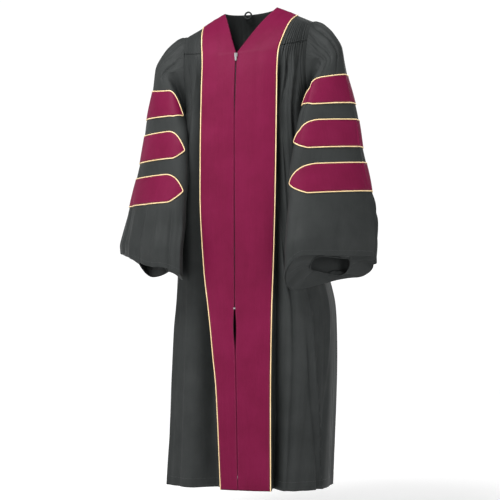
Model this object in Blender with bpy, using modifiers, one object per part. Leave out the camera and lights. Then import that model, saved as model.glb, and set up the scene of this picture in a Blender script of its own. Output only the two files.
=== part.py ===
# Doctoral graduation gown as it hangs when worn, in metres, +Z up, front facing -Y.
# The origin is the middle of the neck, level with the side neck points.
import bpy
import bmesh
from math import asin, atan2, cos, floor, pi, radians, sin
from mathutils import Vector

# ---- cloth and seams
WALL = 0.0016            # wall of the gown cloth
SEAM = 0.0005            # clear gap between two pieces at a seam
SHOULDER_SEAM = 0.0016   # the same where the cloth turns over the shoulder
ARMHOLE_SEAM = 0.0015    # the sleeve starts this far outside the armhole edge
LAY = 0.0007             # clear gap under anything that lies on another piece
PIPING_RADIUS = 0.0015
SQUARE = 0.80            # below 1 the body sections are flatter in front than an oval

# ---- neck and shoulders
NECK_HALF = 0.082        # side neck point from the middle
NECK_Z = -0.008          # the shoulder seam's height at the neck
SHOULDER_BACK = 0.012    # the shoulder seam lies this far behind the ridge
TIP_X = 0.1965           # shoulder tip
TIP_Z = -0.060
V_X = -0.007             # the point of the V where the zip closes
V_Z = -0.140
BACK_NECK_Y = 0.060
BACK_NECK_Z = -0.016
PANEL_AT_SHOULDER = 0.145

# ---- armhole, as an upright loop
ARM_DEPTH = 0.240        # shoulder tip to underarm
ARM_FRONT = 0.060
ARM_BACK = 0.066
ARM_TURN = 60            # the yoke seams meet the armhole this far round from the tip

HEM_Z = -1.420
ZIP_END_Z = -0.890
SLIT_Z = -0.945
SLIT_HALF = 0.070

# height, half width, depth in front, depth behind, sideways shift
BODY = (
    (-0.110, 0.198, 0.106, 0.088, 0.000),
    (-0.200, 0.197, 0.121, 0.100, 0.000),
    (-0.300, 0.190, 0.130, 0.112, 0.000),
    (-0.360, 0.192, 0.133, 0.116, 0.000),
    (-0.450, 0.200, 0.135, 0.121, 0.000),
    (-0.600, 0.209, 0.138, 0.130, 0.002),
    (-0.730, 0.214, 0.140, 0.137, 0.005),
    (-0.800, 0.219, 0.142, 0.141, 0.009),
    (-0.875, 0.243, 0.145, 0.145, 0.019),
    (-1.100, 0.246, 0.149, 0.155, 0.010),
    (-1.420, 0.247, 0.155, 0.170, -0.005),
)

# height, centre line, outer edge of the left panel, outer edge of the right panel, opening
FRONT_LINES = (
    (-0.110, -0.007, 0.120, -0.120, 0.0035),
    (-0.150, -0.007, 0.114, -0.114, 0.0035),
    (-0.260, -0.007, 0.113, -0.113, 0.0033),
    (-0.330, -0.007, 0.113, -0.113, 0.0012),
    (-0.450, -0.006, 0.113, -0.113, 0.0012),
    (-0.600, -0.005, 0.112, -0.111, 0.0018),
    (-0.780, -0.003, 0.109, -0.098, 0.0022),
    (-0.875, -0.002, 0.107, -0.085, 0.0020),
    (-0.945, -0.001, 0.106, -0.076, 0.0090),
    (-1.020, 0.001, 0.105, -0.068, 0.0016),
    (-1.130, 0.004, 0.104, -0.056, 0.0012),
    (-1.420, 0.011, 0.105, -0.040, 0.0012),
)

# one shoulder is carried higher: height, rise for each metre to the wearer's left
TILT = (
    (0.010, 0.080),
    (-0.100, 0.078),
    (-0.200, 0.058),
    (-0.560, 0.056),
    (-0.740, 0.030),
    (-0.900, 0.012),
    (-1.420, 0.000),
)

# height of each row of the fronts and the back below the underarm
BODY_ROWS = (-0.36, -0.43, -0.51, -0.60, -0.69, -0.78, -0.875, -0.945, -1.02, -1.13, -1.28, -1.42)

# soft troughs of the skirt: turn at the top, turn at the hem, first height, full height,
# half width in degrees, depth
FOLDS = (
    (27, 27, -0.26, -1.30, 5.0, 0.013),
    (37, 36, -0.15, -0.90, 4.5, 0.009),
    (60, 48, -0.70, -1.35, 8.0, 0.011),
    (76, 72, -0.60, -1.20, 8.0, 0.012),
    (-30, -22, -0.30, -1.25, 6.5, 0.013),
    (-50, -44, -0.40, -1.30, 7.0, 0.012),
    (-74, -70, -0.55, -1.20, 8.0, 0.010),
)
BACK_FLUTES = 5
BACK_FLUTE_TOP = 0.004
BACK_FLUTE_HEM = 0.017

# rings of the left sleeve from armhole to rim: centre x, centre y, half size outwards,
# half size forwards, lean of the outward axis, twist of the ring, then height on the
# top line, the front line, the underarm line and the back line
SLEEVE = (
    (0.1930, 0.003, 0.0035, 0.063, 0, 0, -0.060, -0.170, -0.300, -0.170),
    (0.2140, -0.001, 0.0165, 0.063, 6, 4, -0.063, -0.171, -0.303, -0.172),
    (0.2290, -0.007, 0.0300, 0.058, 16, 15, -0.092, -0.176, -0.307, -0.182),
    (0.2420, -0.018, 0.0460, 0.050, 28, 30, -0.145, -0.190, -0.312, -0.200),
    (0.2466, -0.034, 0.0640, 0.041, 38, 45, -0.225, -0.233, -0.322, -0.240),
    (0.2520, -0.050, 0.0880, 0.039, 40, 45, -0.305, -0.308, -0.355, -0.315),
    (0.2540, -0.053, 0.0990, 0.039, 40, 45, -0.358, -0.358, -0.388, -0.368),
    (0.2570, -0.065, 0.1110, 0.042, 40, 45, -0.436, -0.436, -0.450, -0.444),
    (0.2604, -0.072, 0.1210, 0.046, 40, 45, -0.487, -0.487, -0.495, -0.492),
    (0.2707, -0.080, 0.1310, 0.052, 40, 45, -0.567, -0.567, -0.570, -0.572),
    (0.2764, -0.091, 0.1400, 0.056, 40, 45, -0.640, -0.637, -0.648, -0.652),
    (0.2790, -0.110, 0.1430, 0.057, 40, 45, -0.700, -0.695, -0.730, -0.745),
    (0.2770, -0.113, 0.1390, 0.056, 40, 45, -0.748, -0.745, -0.800, -0.832),
)
RIM_RIGHT = (-0.718, -0.764, -0.805, -0.745)   # the right sleeve's own rim heights
SLEEVE_STEPS = 24
WRIST = (0.2780, -0.098, 0.060, 0.036, 40, 45, -0.738, -0.725, -0.770, -0.785)
CUFF_ROWS = 3

# each bar lies between two rings of the sleeve: top ring, clear gap under it
BARS = (
    (4, 0.0018),
    (6, 0.0016),
    (8, 0.0020),
)
BAR_FRONT = 135          # front point, turned from the sleeve's top line
BAR_BACK = -120
TIP_HEIGHT = 0.60        # the point is this far down the bar

PANEL_COLUMNS = 3
FRONT_COLUMNS = 10
BACK_COLUMNS = 20
YOKE_ROWS = 4


def smooth(value):
    value = min(1.0, max(0.0, value))
    return value * value * (3 - 2 * value)


def mix(first, second, share):
    return first * (1 - share) + second * share


def along(table, height, column):
    """Smooth reading of one column of a table whose first column is height, top first."""
    count = len(table)
    if height >= table[0][0]:
        return table[0][column]
    if height <= table[-1][0]:
        return table[-1][column]
    index = 0
    while table[index + 1][0] > height:
        index += 1

    def slope(at):
        low = max(at - 1, 0)
        high = min(at + 1, count - 1)
        return (table[high][column] - table[low][column]) / (table[high][0] - table[low][0])

    step = table[index + 1][0] - table[index][0]
    share = (height - table[index][0]) / step
    return ((2 * share ** 3 - 3 * share ** 2 + 1) * table[index][column]
            + (share ** 3 - 2 * share ** 2 + share) * step * slope(index)
            + (3 * share ** 2 - 2 * share ** 3) * table[index + 1][column]
            + (share ** 3 - share ** 2) * step * slope(index + 1))


def tilted(point):
    return Vector((point.x, point.y, point.z + point.x * along(TILT, point.z, 1)))


def armhole(turn):
    """A point of the left armhole; turn 0 is the shoulder tip, 90 the front, 180 the underarm."""
    angle = radians(turn)
    depth = ARM_FRONT if sin(angle) > 0 else ARM_BACK
    middle = TIP_Z - ARM_DEPTH / 2
    return Vector((
        0.193 + 0.0035 * cos(angle) - 0.005 * sin(angle) ** 2,
        0.003 * (1 - abs(sin(angle))) - depth * sin(angle),
        middle + ARM_DEPTH / 2 * cos(angle) + 0.005 * sin(angle) ** 2,
    ))


def section(turn, height):
    """The body surface; turn 0 is centre front, +90 the wearer's left side, 180 centre back."""
    angle = radians(turn)
    half = along(BODY, height, 1)
    depth = along(BODY, height, 2) if cos(angle) > 0 else along(BODY, height, 3)
    across = abs(sin(angle)) ** SQUARE * half
    away = abs(cos(angle)) ** SQUARE * depth
    return Vector((
        along(BODY, height, 4) + (across if sin(angle) > 0 else -across),
        -away if cos(angle) > 0 else away,
        height,
    ))


def section_turn(side, across, height):
    """The turn at which the front surface has the given x."""
    share = max(0.0, side * (across - along(BODY, height, 4)) / along(BODY, height, 1))
    return degrees_of(asin(min(1.0, share ** (1 / SQUARE))))


def degrees_of(angle):
    return angle * 180 / pi


def fold_depth(turn, height):
    total = 0.0
    for top, hem, first, full, half, depth in FOLDS:
        reach = smooth((first - height) / (first - full))
        place = top + (hem - top) * (first - height) / (first - HEM_Z)
        away = abs(turn - place) / half
        if away < 1 and height < first:
            total += depth * reach * (0.5 + 0.5 * cos(pi * away))
    return total


def folded(point, turn, height):
    depth = fold_depth(turn, height)
    angle = radians(turn)
    return point + Vector((-sin(angle), cos(angle), 0)) * depth


def front_point(side, column, inner_height, outer):
    """A point of a front: columns 0..PANEL_COLUMNS lie under the panel, the rest reach the edge."""
    share = column / FRONT_COLUMNS
    height = mix(inner_height, outer.z, share)
    centre = along(FRONT_LINES, height, 1) + side * along(FRONT_LINES, height, 4) / 2
    edge = along(FRONT_LINES, height, 2 if side > 0 else 3)
    if column <= PANEL_COLUMNS:
        across = mix(centre, edge, column / PANEL_COLUMNS)
        half = along(BODY, height, 1)
        depth = along(BODY, height, 2)
        off = abs((across - along(BODY, height, 4)) / half) ** (2 / SQUARE)
        return Vector((across, -depth * (1 - off) ** (SQUARE / 2), height))
    first = section_turn(side, edge, height)
    half = along(BODY, height, 1)
    depth = along(BODY, height, 2)
    shift = along(BODY, height, 4)
    last = degrees_of(atan2((abs(outer.x - shift) / half) ** (1 / SQUARE),
                            (max(0.0, 0.003 - outer.y) / depth) ** (1 / SQUARE)))
    if outer.z < -0.2999:
        last = 90.0
    rest = (column - PANEL_COLUMNS) / (FRONT_COLUMNS - PANEL_COLUMNS)
    turn = mix(first, last, rest ** 1.25)
    end = section(side * last, height)
    point = section(side * turn, height)
    point = folded(point, side * turn, height)
    miss = Vector((outer.x - end.x, outer.y - end.y, 0))
    if outer.z < -0.2999:
        miss = Vector((0, 0, 0))
    return point + miss * rest ** 2


def edge_row(side, turn):
    loop = armhole(turn)
    return Vector((side * loop.x, loop.y, loop.z))


def front_rows(side):
    rows = []
    for turn in range(ARM_TURN, 181, 15):
        outer = edge_row(side, turn)
        inner = mix(V_Z, outer.z, smooth((turn - ARM_TURN) / 90))
        rows.append([front_point(side, column, inner, outer) for column in range(FRONT_COLUMNS + 1)])
    for height in BODY_ROWS:
        outer = section(side * 90, height)
        rows.append([front_point(side, column, height, outer) for column in range(FRONT_COLUMNS + 1)])
    return rows


def back_point(column, rows_height, turn_in, armhole_turn):
    """A point of the back: column 0 is the right edge, the last column the left edge."""
    share = column / BACK_COLUMNS
    side = 1 if share > 0.5 else -1
    off = abs(2 * share - 1)
    height = rows_height
    if armhole_turn is None:
        first = 90.0
        miss = Vector((0, 0, 0))
    else:
        outer = edge_row(side, -armhole_turn)
        half = along(BODY, height, 1)
        depth = along(BODY, height, 3)
        first = 180 - degrees_of(atan2((abs(outer.x) / half) ** (1 / SQUARE),
                                       (max(0.0, outer.y - 0.003) / depth) ** (1 / SQUARE)))
        end = section(side * first, height)
        miss = Vector((outer.x - end.x, outer.y - end.y, 0)) * off ** 4
        height = mix(turn_in, outer.z, off ** 2)
    turn = side * mix(180.0, first, off)
    point = section(turn, height) + miss
    reach = smooth((-0.13 - height) / 1.2)
    size = mix(BACK_FLUTE_TOP, BACK_FLUTE_HEM, reach) * min(1.0, 3.0 * (1 - off))
    uneven = 1 + 0.30 * sin(5.1 * share + 0.6)
    swing = cos(2 * pi * BACK_FLUTES * share + pi) * uneven * size
    angle = radians(turn)
    return point + Vector((sin(angle), -cos(angle), 0)) * swing


def back_rows():
    rows = []
    for turn in range(ARM_TURN, 181, 15):
        height = edge_row(1, -turn).z
        inner = mix(-0.135, height, smooth((turn - ARM_TURN) / 90))
        rows.append([back_point(column, height, inner, turn) for column in range(BACK_COLUMNS + 1)])
    for height in BODY_ROWS:
        rows.append([back_point(column, height, height, None) for column in range(BACK_COLUMNS + 1)])
    return rows


def yoke_front_rows(side, seam):
    """Rows from the shoulder seam to the front yoke seam, given as the top row of the front."""
    rows = []
    for row in range(YOKE_ROWS + 1):
        share = row / YOKE_ROWS
        points = []
        outer = edge_row(side, share * ARM_TURN)
        for column in range(FRONT_COLUMNS + 1):
            if column <= PANEL_COLUMNS:
                across = mix(NECK_HALF, PANEL_AT_SHOULDER, column / PANEL_COLUMNS)
            else:
                across = mix(PANEL_AT_SHOULDER, TIP_X,
                             (column - PANEL_COLUMNS) / (FRONT_COLUMNS - PANEL_COLUMNS))
            reach = (across - NECK_HALF) / (TIP_X - NECK_HALF)
            top = Vector((side * across, mix(SHOULDER_BACK, 0.003, reach), mix(NECK_Z, TIP_Z, reach)))
            straight = mix(top, seam[column], share)
            rise = 0.021 * mix(0.45, 1.0, min(1.0, column / PANEL_COLUMNS))
            away = mix(Vector((0, -0.30, 1)), Vector((0, -1, 0.35)), share).normalized()
            ridge = away * rise * sin(pi * share) * (1 - 0.45 * share)
            end = mix(edge_row(side, 0), seam[FRONT_COLUMNS], share)
            off = outer - end
            off -= ridge
            points.append(straight + ridge + off * reach_weight(column, FRONT_COLUMNS))
        rows.append(points)
    return rows


def reach_weight(column, columns):
    return (column / columns) ** 3


def yoke_back_rows(seam):
    rows = []
    quarter = BACK_COLUMNS // 4
    for row in range(YOKE_ROWS + 1):
        share = row / YOKE_ROWS
        points = []
        for column in range(BACK_COLUMNS + 1):
            side = 1 if column > BACK_COLUMNS / 2 else -1
            count = abs(column - BACK_COLUMNS / 2)
            if count <= quarter:
                angle = count / quarter * pi / 2
                top = Vector((side * NECK_HALF * sin(angle),
                              SHOULDER_BACK + (BACK_NECK_Y - SHOULDER_BACK) * cos(angle) ** 1.1,
                              NECK_Z + (BACK_NECK_Z - NECK_Z) * cos(angle) ** 1.3))
            else:
                reach = (count - quarter) / quarter
                top = Vector((side * mix(NECK_HALF, TIP_X, reach),
                              mix(SHOULDER_BACK, 0.003, reach), mix(NECK_Z, TIP_Z, reach)))
            straight = mix(top, seam[column], share)
            ridge = Vector((0, 0.85, 0.52)) * 0.011 * sin(pi * share)
            outer = edge_row(side, -share * ARM_TURN)
            end = mix(edge_row(side, 0), seam[0 if side < 0 else BACK_COLUMNS], share)
            off = outer - end
            off -= ridge
            points.append(straight + ridge + off * (count / (BACK_COLUMNS / 2)) ** 3)
        rows.append(points)
    return rows


def ring_height(ring, turn):
    """Height round a ring, eased between its top, front, underarm and back lines."""
    quarter = (turn % 360) / 90
    first = int(quarter)
    return mix(ring[6 + first], ring[6 + (first + 1) % 4], smooth(quarter - first))


def ring_point(ring, turn, swell=0.0):
    """A point of a sleeve ring; turn 0 is the top line, 90 the front, 180 the underarm."""
    middle_x, middle_y, out, fore, axis, twist = ring[:6]
    angle = radians(turn + twist)
    lean = radians(axis)
    grow = 1 + swell
    return Vector((
        middle_x + grow * (out * cos(lean) * cos(angle) + fore * sin(lean) * sin(angle)),
        middle_y + grow * (out * sin(lean) * cos(angle) - fore * cos(lean) * sin(angle)),
        ring_height(ring, turn),
    ))


def sleeve_rows(side):
    rows = []
    last = len(SLEEVE) - 1
    for index, ring in enumerate(SLEEVE):
        if side < 0 and index >= last - 1:
            share = 0.45 if index == last - 1 else 1.0
            moves = [new - old for new, old in zip(RIM_RIGHT, SLEEVE[last][6:])]
            ring = ring[:6] + tuple(old + move * share for old, move in zip(ring[6:], moves))
        points = []
        for step in range(SLEEVE_STEPS):
            turn = step * 360 / SLEEVE_STEPS
            if index == 0:
                point = armhole(turn) + Vector((ARMHOLE_SEAM, 0, 0))
            else:
                swell = 0.022 * smooth((index - 7) / 5) * cos(radians(5 * turn + 40))
                point = ring_point(ring, turn, swell)
            points.append(Vector((side * point.x, point.y, point.z)))
        rows.append(points)
    return rows


def cuff_rows(side, rim, above):
    """The turned-in facing: from just inside the rim up and in to the wrist opening."""
    rows = []
    middle = sum(rim, Vector()) / len(rim)
    for row in range(CUFF_ROWS + 1):
        share = row / CUFF_ROWS
        points = []
        for step, edge in enumerate(rim):
            up = (above[step] - edge).normalized()
            inward = (middle - edge)
            inward.z = 0
            inward.normalize()
            start = edge + inward * 0.0045 + up * 0.004
            turn = step * 360 / SLEEVE_STEPS
            wrist = ring_point(WRIST, turn)
            wrist.x *= side
            if side < 0:
                wrist.z += 0.006
            point = mix(start, wrist, share)
            point.z += 0.012 * sin(pi * share)
            points.append(point)
        rows.append(points)
    return rows


# ---- building

MATERIALS = {}


def material(name, colour, metallic, roughness):
    surface = bpy.data.materials.new(name)
    surface.use_nodes = True
    shader = surface.node_tree.nodes["Principled BSDF"]
    shader.inputs["Base Color"].default_value = (*colour, 1)
    shader.inputs["Metallic"].default_value = metallic
    shader.inputs["Roughness"].default_value = roughness
    surface.diffuse_color = (*colour, 1)
    MATERIALS[name] = surface


def add_object(name, data, slot):
    piece = bpy.data.objects.new(name, data)
    GOWN.objects.link(piece)
    piece.data.materials.append(MATERIALS[slot])
    return piece


def inset(rows, top=0.0, bottom=0.0, first=0.0, last=0.0):
    """Draws the open edges of a piece in from its seams."""
    rows = [[point.copy() for point in row] for row in rows]
    for near, beside, gap in ((0, 1, top), (-1, -2, bottom)):
        if gap:
            for column, point in enumerate(rows[near]):
                step = rows[beside][column] - point
                rows[near][column] = point + step.normalized() * gap
    for near, beside, gap in ((0, 1, first), (-1, -2, last)):
        if gap:
            for row in rows:
                step = row[beside] - row[near]
                row[near] = row[near] + step.normalized() * gap
    return rows


def normals(rows, closed, out):
    """Outward directions at every point of a grid; out says which way is outward."""
    result = []
    height = len(rows)
    width = len(rows[0])
    for row in range(height):
        line = []
        for column in range(width):
            before = column - 1 if column > 0 or closed else 0
            after = (column + 1) % width if closed else min(column + 1, width - 1)
            across = rows[row][after] - rows[row][before]
            down = rows[min(row + 1, height - 1)][column] - rows[max(row - 1, 0)][column]
            line.append(across.cross(down).normalized() * out)
        result.append(line)
    return result


def moved(rows, directions, distance):
    return [[point + direction * distance for point, direction in zip(row, line)]
            for row, line in zip(rows, directions)]


def cloth(name, rows, slot, closed=False, wall=WALL):
    """A sheet of cloth: a grid moved onto its form, then given its wall."""
    width = len(rows[0])
    grid = bmesh.new()
    columns = width if closed else width - 1
    bmesh.ops.create_grid(grid, x_segments=columns, y_segments=len(rows) - 1, size=0.5)
    grid.verts.ensure_lookup_table()
    for index, vertex in enumerate(grid.verts):
        row, column = divmod(index, columns + 1)
        vertex.co = tilted(rows[row][column % width])
    if closed:
        bmesh.ops.remove_doubles(grid, verts=grid.verts, dist=0.00001)
    mesh = bpy.data.meshes.new(name)
    grid.to_mesh(mesh)
    grid.free()
    piece = add_object(name, mesh, slot)
    thick = piece.modifiers.new("wall", "SOLIDIFY")
    thick.thickness = wall
    thick.offset = 0.0
    return piece


def cord(name, points, radius, slot, closed=False):
    curve = bpy.data.curves.new(name, "CURVE")
    curve.dimensions = "3D"
    curve.bevel_depth = radius
    curve.bevel_resolution = 1
    curve.use_fill_caps = not closed
    line = curve.splines.new("POLY")
    line.points.add(len(points) - 1)
    for knot, point in zip(line.points, points):
        knot.co = (*tilted(point), 1)
    line.use_cyclic_u = closed
    return add_object(name, curve, slot)


def box(name, slot, low, high, bevel=0.0):
    solid = bmesh.new()
    bmesh.ops.create_cube(solid, size=1.0)
    for vertex in solid.verts:
        vertex.co = Vector([(low[axis] + high[axis]) / 2 + vertex.co[axis] * (high[axis] - low[axis])
                            for axis in range(3)])
    mesh = bpy.data.meshes.new(name)
    solid.to_mesh(mesh)
    solid.free()
    piece = add_object(name, mesh, slot)
    if bevel:
        edge = piece.modifiers.new("edges", "BEVEL")
        edge.width = bevel
        edge.segments = 2
    return piece


def between(rows, row, column, closed):
    """A point of a grid read between its rows and columns."""
    width = len(rows[0])
    low_row = min(int(row), len(rows) - 2)
    low_column = int(column // 1)
    row_share = row - low_row
    column_share = column - low_column
    after = low_column + 1
    if closed:
        low_column %= width
        after %= width
    upper = mix(rows[low_row][low_column], rows[low_row][after], column_share)
    lower = mix(rows[low_row + 1][low_column], rows[low_row + 1][after], column_share)
    return mix(upper, lower, row_share)


# height of the upper and the lower edge near a bar's end: steps from the point, upper, lower
BAR_END = (
    (0.00, 0.56, 0.64),
    (1.00, 0.34, 0.84),
    (2.00, 0.14, 1.00),
    (3.00, 0.00, 1.00),
)


def bar_outline(front_step, back_step):
    """Columns of a bar with its upper and lower edge as shares of its height."""
    columns = [(back_step + ahead, upper, lower) for ahead, upper, lower in BAR_END]
    step = floor(back_step + BAR_END[-1][0]) + 1
    while step < front_step - BAR_END[-1][0]:
        if step - columns[-1][0] > 0.3 and front_step - BAR_END[-1][0] - step > 0.3:
            columns.append((step, 0.0, 1.0))
        step += 1
    columns += [(front_step - ahead, upper, lower) for ahead, upper, lower in reversed(BAR_END)]
    return columns


def beside(rows, ring, outline, apart):
    """The outline of a bar grown by a distance, as column and level pairs."""
    columns = [column for column, upper, lower in outline]
    loop = [(column, upper) for column, upper, lower in outline]
    loop += [(column, lower) for column, upper, lower in reversed(outline)]
    grown = []
    count = len(loop)
    for index, (column, level) in enumerate(loop):
        here = between(rows, ring + 0.5, column, True)
        wide = (between(rows, ring + 0.5, column + 0.5, True) - here).length * 2
        high = (between(rows, ring + 1, column, True) - between(rows, ring, column, True)).length
        before = loop[index - 1]
        after = loop[(index + 1) % count]
        first = Vector(((column - before[0]) * wide, (level - before[1]) * high)).normalized()
        second = Vector(((after[0] - column) * wide, (after[1] - level) * high)).normalized()
        turned = Vector((first.y, -first.x)) + Vector((second.y, -second.x))
        turned.normalize()
        square = max(0.5, turned.dot(Vector((first.y, -first.x))))
        reach = apart / square
        rise = level + turned.y * reach / high
        if rise < 0:
            above = (between(rows, ring, column, True) - between(rows, ring - 1, column, True)).length
            rise *= high / above
        if rise > 1:
            below = (between(rows, ring + 2, column, True) - between(rows, ring + 1, column, True)).length
            rise = 1 + (rise - 1) * high / below
        grown.append((column + turned.x * reach / wide, rise))
    return grown


for old in list(bpy.data.objects):
    bpy.data.objects.remove(old, do_unlink=True)
GOWN = bpy.data.collections.new("graduation_gown")
bpy.context.scene.collection.children.link(GOWN)

material("gown_cloth", (0.040, 0.043, 0.043), 0.0, 0.75)
material("trim_cloth", (0.235, 0.026, 0.078), 0.0, 0.70)
material("piping_cord", (0.75, 0.55, 0.20), 0.0, 0.55)
material("zip_tape_cloth", (0.030, 0.012, 0.018), 0.0, 0.80)
material("zip_metal", (0.70, 0.70, 0.68), 1.0, 0.30)

# ---- body
BACK = back_rows()
YOKE_BACK = yoke_back_rows(BACK[0])
cloth("back", inset(BACK, top=SEAM / 2, first=SEAM / 2, last=SEAM / 2), "gown_cloth")
cloth("yoke_back", inset(YOKE_BACK, top=SHOULDER_SEAM / 2, bottom=SEAM / 2), "gown_cloth")

for side, word in ((1, "left"), (-1, "right")):
    front = front_rows(side)
    yoke = yoke_front_rows(side, front[0])
    cloth("front_" + word, inset(front, top=SEAM / 2, last=SEAM / 2), "gown_cloth")
    cloth("yoke_front_" + word, inset(yoke, top=SHOULDER_SEAM / 2, bottom=SEAM / 2), "gown_cloth")

    # the panel lies on the yoke and the front, and its piping runs beside it
    whole = yoke[:-1] + front
    out = normals(whole, False, -side)
    lift = WALL + LAY
    raised = moved(whole, out, lift)
    strip = inset([row[:PANEL_COLUMNS + 1] for row in raised], top=0.003)
    cloth("panel_" + word, strip, "trim_cloth")
    line = []
    for base, row in zip(moved(whole, out, WALL / 2 + LAY + PIPING_RADIUS), raised):
        edge = base[PANEL_COLUMNS]
        beyond = (base[PANEL_COLUMNS + 1] - edge).normalized()
        line.append(edge + beyond * (PIPING_RADIUS + 0.0004))
    cord("panel_piping_" + word, line, PIPING_RADIUS, "piping_cord")

    # sleeve with its facing, bars and piping
    sleeve = sleeve_rows(side)
    cloth("sleeve_" + word, sleeve, "gown_cloth", closed=True)
    cuff = cuff_rows(side, sleeve[-1], sleeve[-2])
    cloth("cuff_facing_" + word, cuff, "gown_cloth", closed=True)
    sleeve_out = normals(sleeve, True, side)
    for number, (ring, lay) in enumerate(BARS, 1):
        step = 360 / SLEEVE_STEPS
        outline = bar_outline(BAR_FRONT / step, BAR_BACK / step)
        raised = moved(sleeve, sleeve_out, WALL + lay)
        grid = []
        for level in (0.0, 1.0):
            grid.append([between(raised, ring + mix(upper, lower, level), column, True)
                         for column, upper, lower in outline])
        name = word + "_" + str(number)
        cloth("bar_" + name, grid, "trim_cloth")
        height = moved(sleeve, sleeve_out, WALL / 2 + lay + PIPING_RADIUS)
        loop = [between(height, ring + level, column, True)
                for column, level in beside(sleeve, ring, outline, PIPING_RADIUS + 0.0012)]
        cord("bar_piping_" + name, loop, PIPING_RADIUS, "piping_cord", closed=True)

# ---- hanging loop inside the back neck
LOOP = []
for step in range(16):
    angle = 2 * pi * step / 16
    LOOP.append(Vector((-0.022 + 0.011 * cos(angle), BACK_NECK_Y - 0.007, BACK_NECK_Z - 0.001 + 0.011 * sin(angle))))
cord("hanging_loop", LOOP, 0.0012, "gown_cloth", closed=True)

# ---- zip: tape behind the opening, bottom stop, slider and pull tab in front
LEFT_FRONT = front_rows(1)
RIGHT_FRONT = front_rows(-1)
LAST = len(LEFT_FRONT) - len(BODY_ROWS) + BODY_ROWS.index(-0.875)
END_SHARE = (-0.875 - ZIP_END_Z) / (-0.875 - BODY_ROWS[BODY_ROWS.index(-0.875) + 1])
TAPE = []
for level in [0.15] + list(range(1, LAST + 1)) + [LAST + END_SHARE]:
    wide = between(LEFT_FRONT, level, 1, False) - between(LEFT_FRONT, level, 0, False)
    reach = 0.010 / wide.length
    left = between(LEFT_FRONT, level, reach, False)
    right = between(RIGHT_FRONT, level, reach, False)
    middle = (between(LEFT_FRONT, level, 0, False) + between(RIGHT_FRONT, level, 0, False)) / 2
    TAPE.append([right, middle, left])
cloth("zip_tape", moved(TAPE, normals(TAPE, False, 1), 0.0014 + LAY), "zip_tape_cloth", wall=0.0012)

STOP = (between(LEFT_FRONT, LAST + END_SHARE, 0, False) + between(RIGHT_FRONT, LAST + END_SHARE, 0, False)) / 2
STOP.y -= WALL * 1.5 + LAY + 0.0008
STOP = tilted(STOP)
box("zip_stop", "zip_metal", STOP + Vector((-0.0028, -0.0016, -0.0022)), STOP + Vector((0.0028, 0, 0.0022)))

SLIDER_TOP = tilted(Vector((V_X, 0, V_Z))).z
FACE = between(LEFT_FRONT, 0.35, 0, False).y - WALL * 1.5 - LAY - 0.0022
BODY_FRONT = FACE - 0.0030
SLIDER_HIGH = 0.011
box_low = Vector((V_X - 0.0045, BODY_FRONT, SLIDER_TOP - SLIDER_HIGH - 0.001))
box_high = Vector((V_X + 0.0045, FACE, SLIDER_TOP - 0.001))
slider = box("zip_slider", "zip_metal", box_low, box_high)
PIVOT = Vector((V_X, BODY_FRONT - 0.0012, SLIDER_TOP - 0.0048))
CUTTERS = bpy.data.collections.new("cutters")
bpy.context.scene.collection.children.link(CUTTERS)


def cutter(name, low, high):
    tool = box(name, "zip_metal", low, high)
    GOWN.objects.unlink(tool)
    CUTTERS.objects.link(tool)
    tool.hide_render = True
    tool.display_type = "WIRE"
    return tool


def combine(piece, tool, operation):
    step = piece.modifiers.new(tool.name, "BOOLEAN")
    step.operation = operation
    step.object = tool
    step.solver = "EXACT"


bridge = cutter("bridge_block", PIVOT + Vector((-0.0009, -0.0022, -0.0030)), PIVOT + Vector((0.0009, 0.0020, 0.0030)))
hole = cutter("bridge_hole", PIVOT + Vector((-0.0030, -0.0012, -0.0018)), PIVOT + Vector((0.0030, 0.0012, 0.0018)))
combine(slider, bridge, "UNION")
combine(slider, hole, "DIFFERENCE")

tab = box("zip_pull_tab", "zip_metal", Vector((-0.0026, -0.0006, -0.0190)), Vector((0.0026, 0.0006, 0.0006)))
tab.location = PIVOT
window = cutter("tab_window", PIVOT + Vector((-0.0014, -0.0030, -0.0050)), PIVOT + Vector((0.0014, 0.0030, -0.0006)))
combine(tab, window, "DIFFERENCE")
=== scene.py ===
from math import cos, pi, radians, sin
import bpy
import numpy as np
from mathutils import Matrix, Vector


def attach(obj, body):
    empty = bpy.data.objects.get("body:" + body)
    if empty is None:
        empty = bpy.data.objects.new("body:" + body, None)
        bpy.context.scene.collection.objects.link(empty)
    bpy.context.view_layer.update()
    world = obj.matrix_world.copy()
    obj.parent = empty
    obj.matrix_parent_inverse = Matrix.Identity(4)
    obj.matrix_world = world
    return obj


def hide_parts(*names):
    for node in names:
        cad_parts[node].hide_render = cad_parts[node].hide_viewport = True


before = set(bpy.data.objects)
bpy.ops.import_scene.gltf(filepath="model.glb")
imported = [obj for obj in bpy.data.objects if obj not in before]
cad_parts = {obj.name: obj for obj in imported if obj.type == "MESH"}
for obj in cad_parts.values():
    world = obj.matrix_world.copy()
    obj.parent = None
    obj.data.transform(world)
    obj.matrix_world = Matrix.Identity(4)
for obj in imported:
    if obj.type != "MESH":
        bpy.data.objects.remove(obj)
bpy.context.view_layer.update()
print("frame loaded, nodes:", len(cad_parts))


# the gown's form, in metres
form = {
    "square": 0.80,            # below 1 the body is flatter in front than an oval
    "neckHalf": 0.082,
    "neckHeight": -0.001,
    "shoulderBack": 0.012,
    "tipX": 0.1965,
    "tipHeight": -0.060,
    "vHeight": -0.140,
    "backNeckY": 0.060,
    "backNeckHeight": -0.006,
    "panelAtShoulder": 0.145,
    "armDepth": 0.240,
    "armFront": 0.060,
    "armBack": 0.066,
    "armX": 0.193,
    "armBulge": 0.0035,
    "armBend": 0.005,
    "tipY": 0.003,
    "armEnd": -0.300,
    "armTurn": 60,             # where the yoke seams meet the armhole
    "hem": -1.420,
    "zipEnd": -0.890,
    "cloth": 0.0011,           # shown thickness of the gown cloth
    "lay": 0.0009,             # how far a laid-on piece stands off
}

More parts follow.
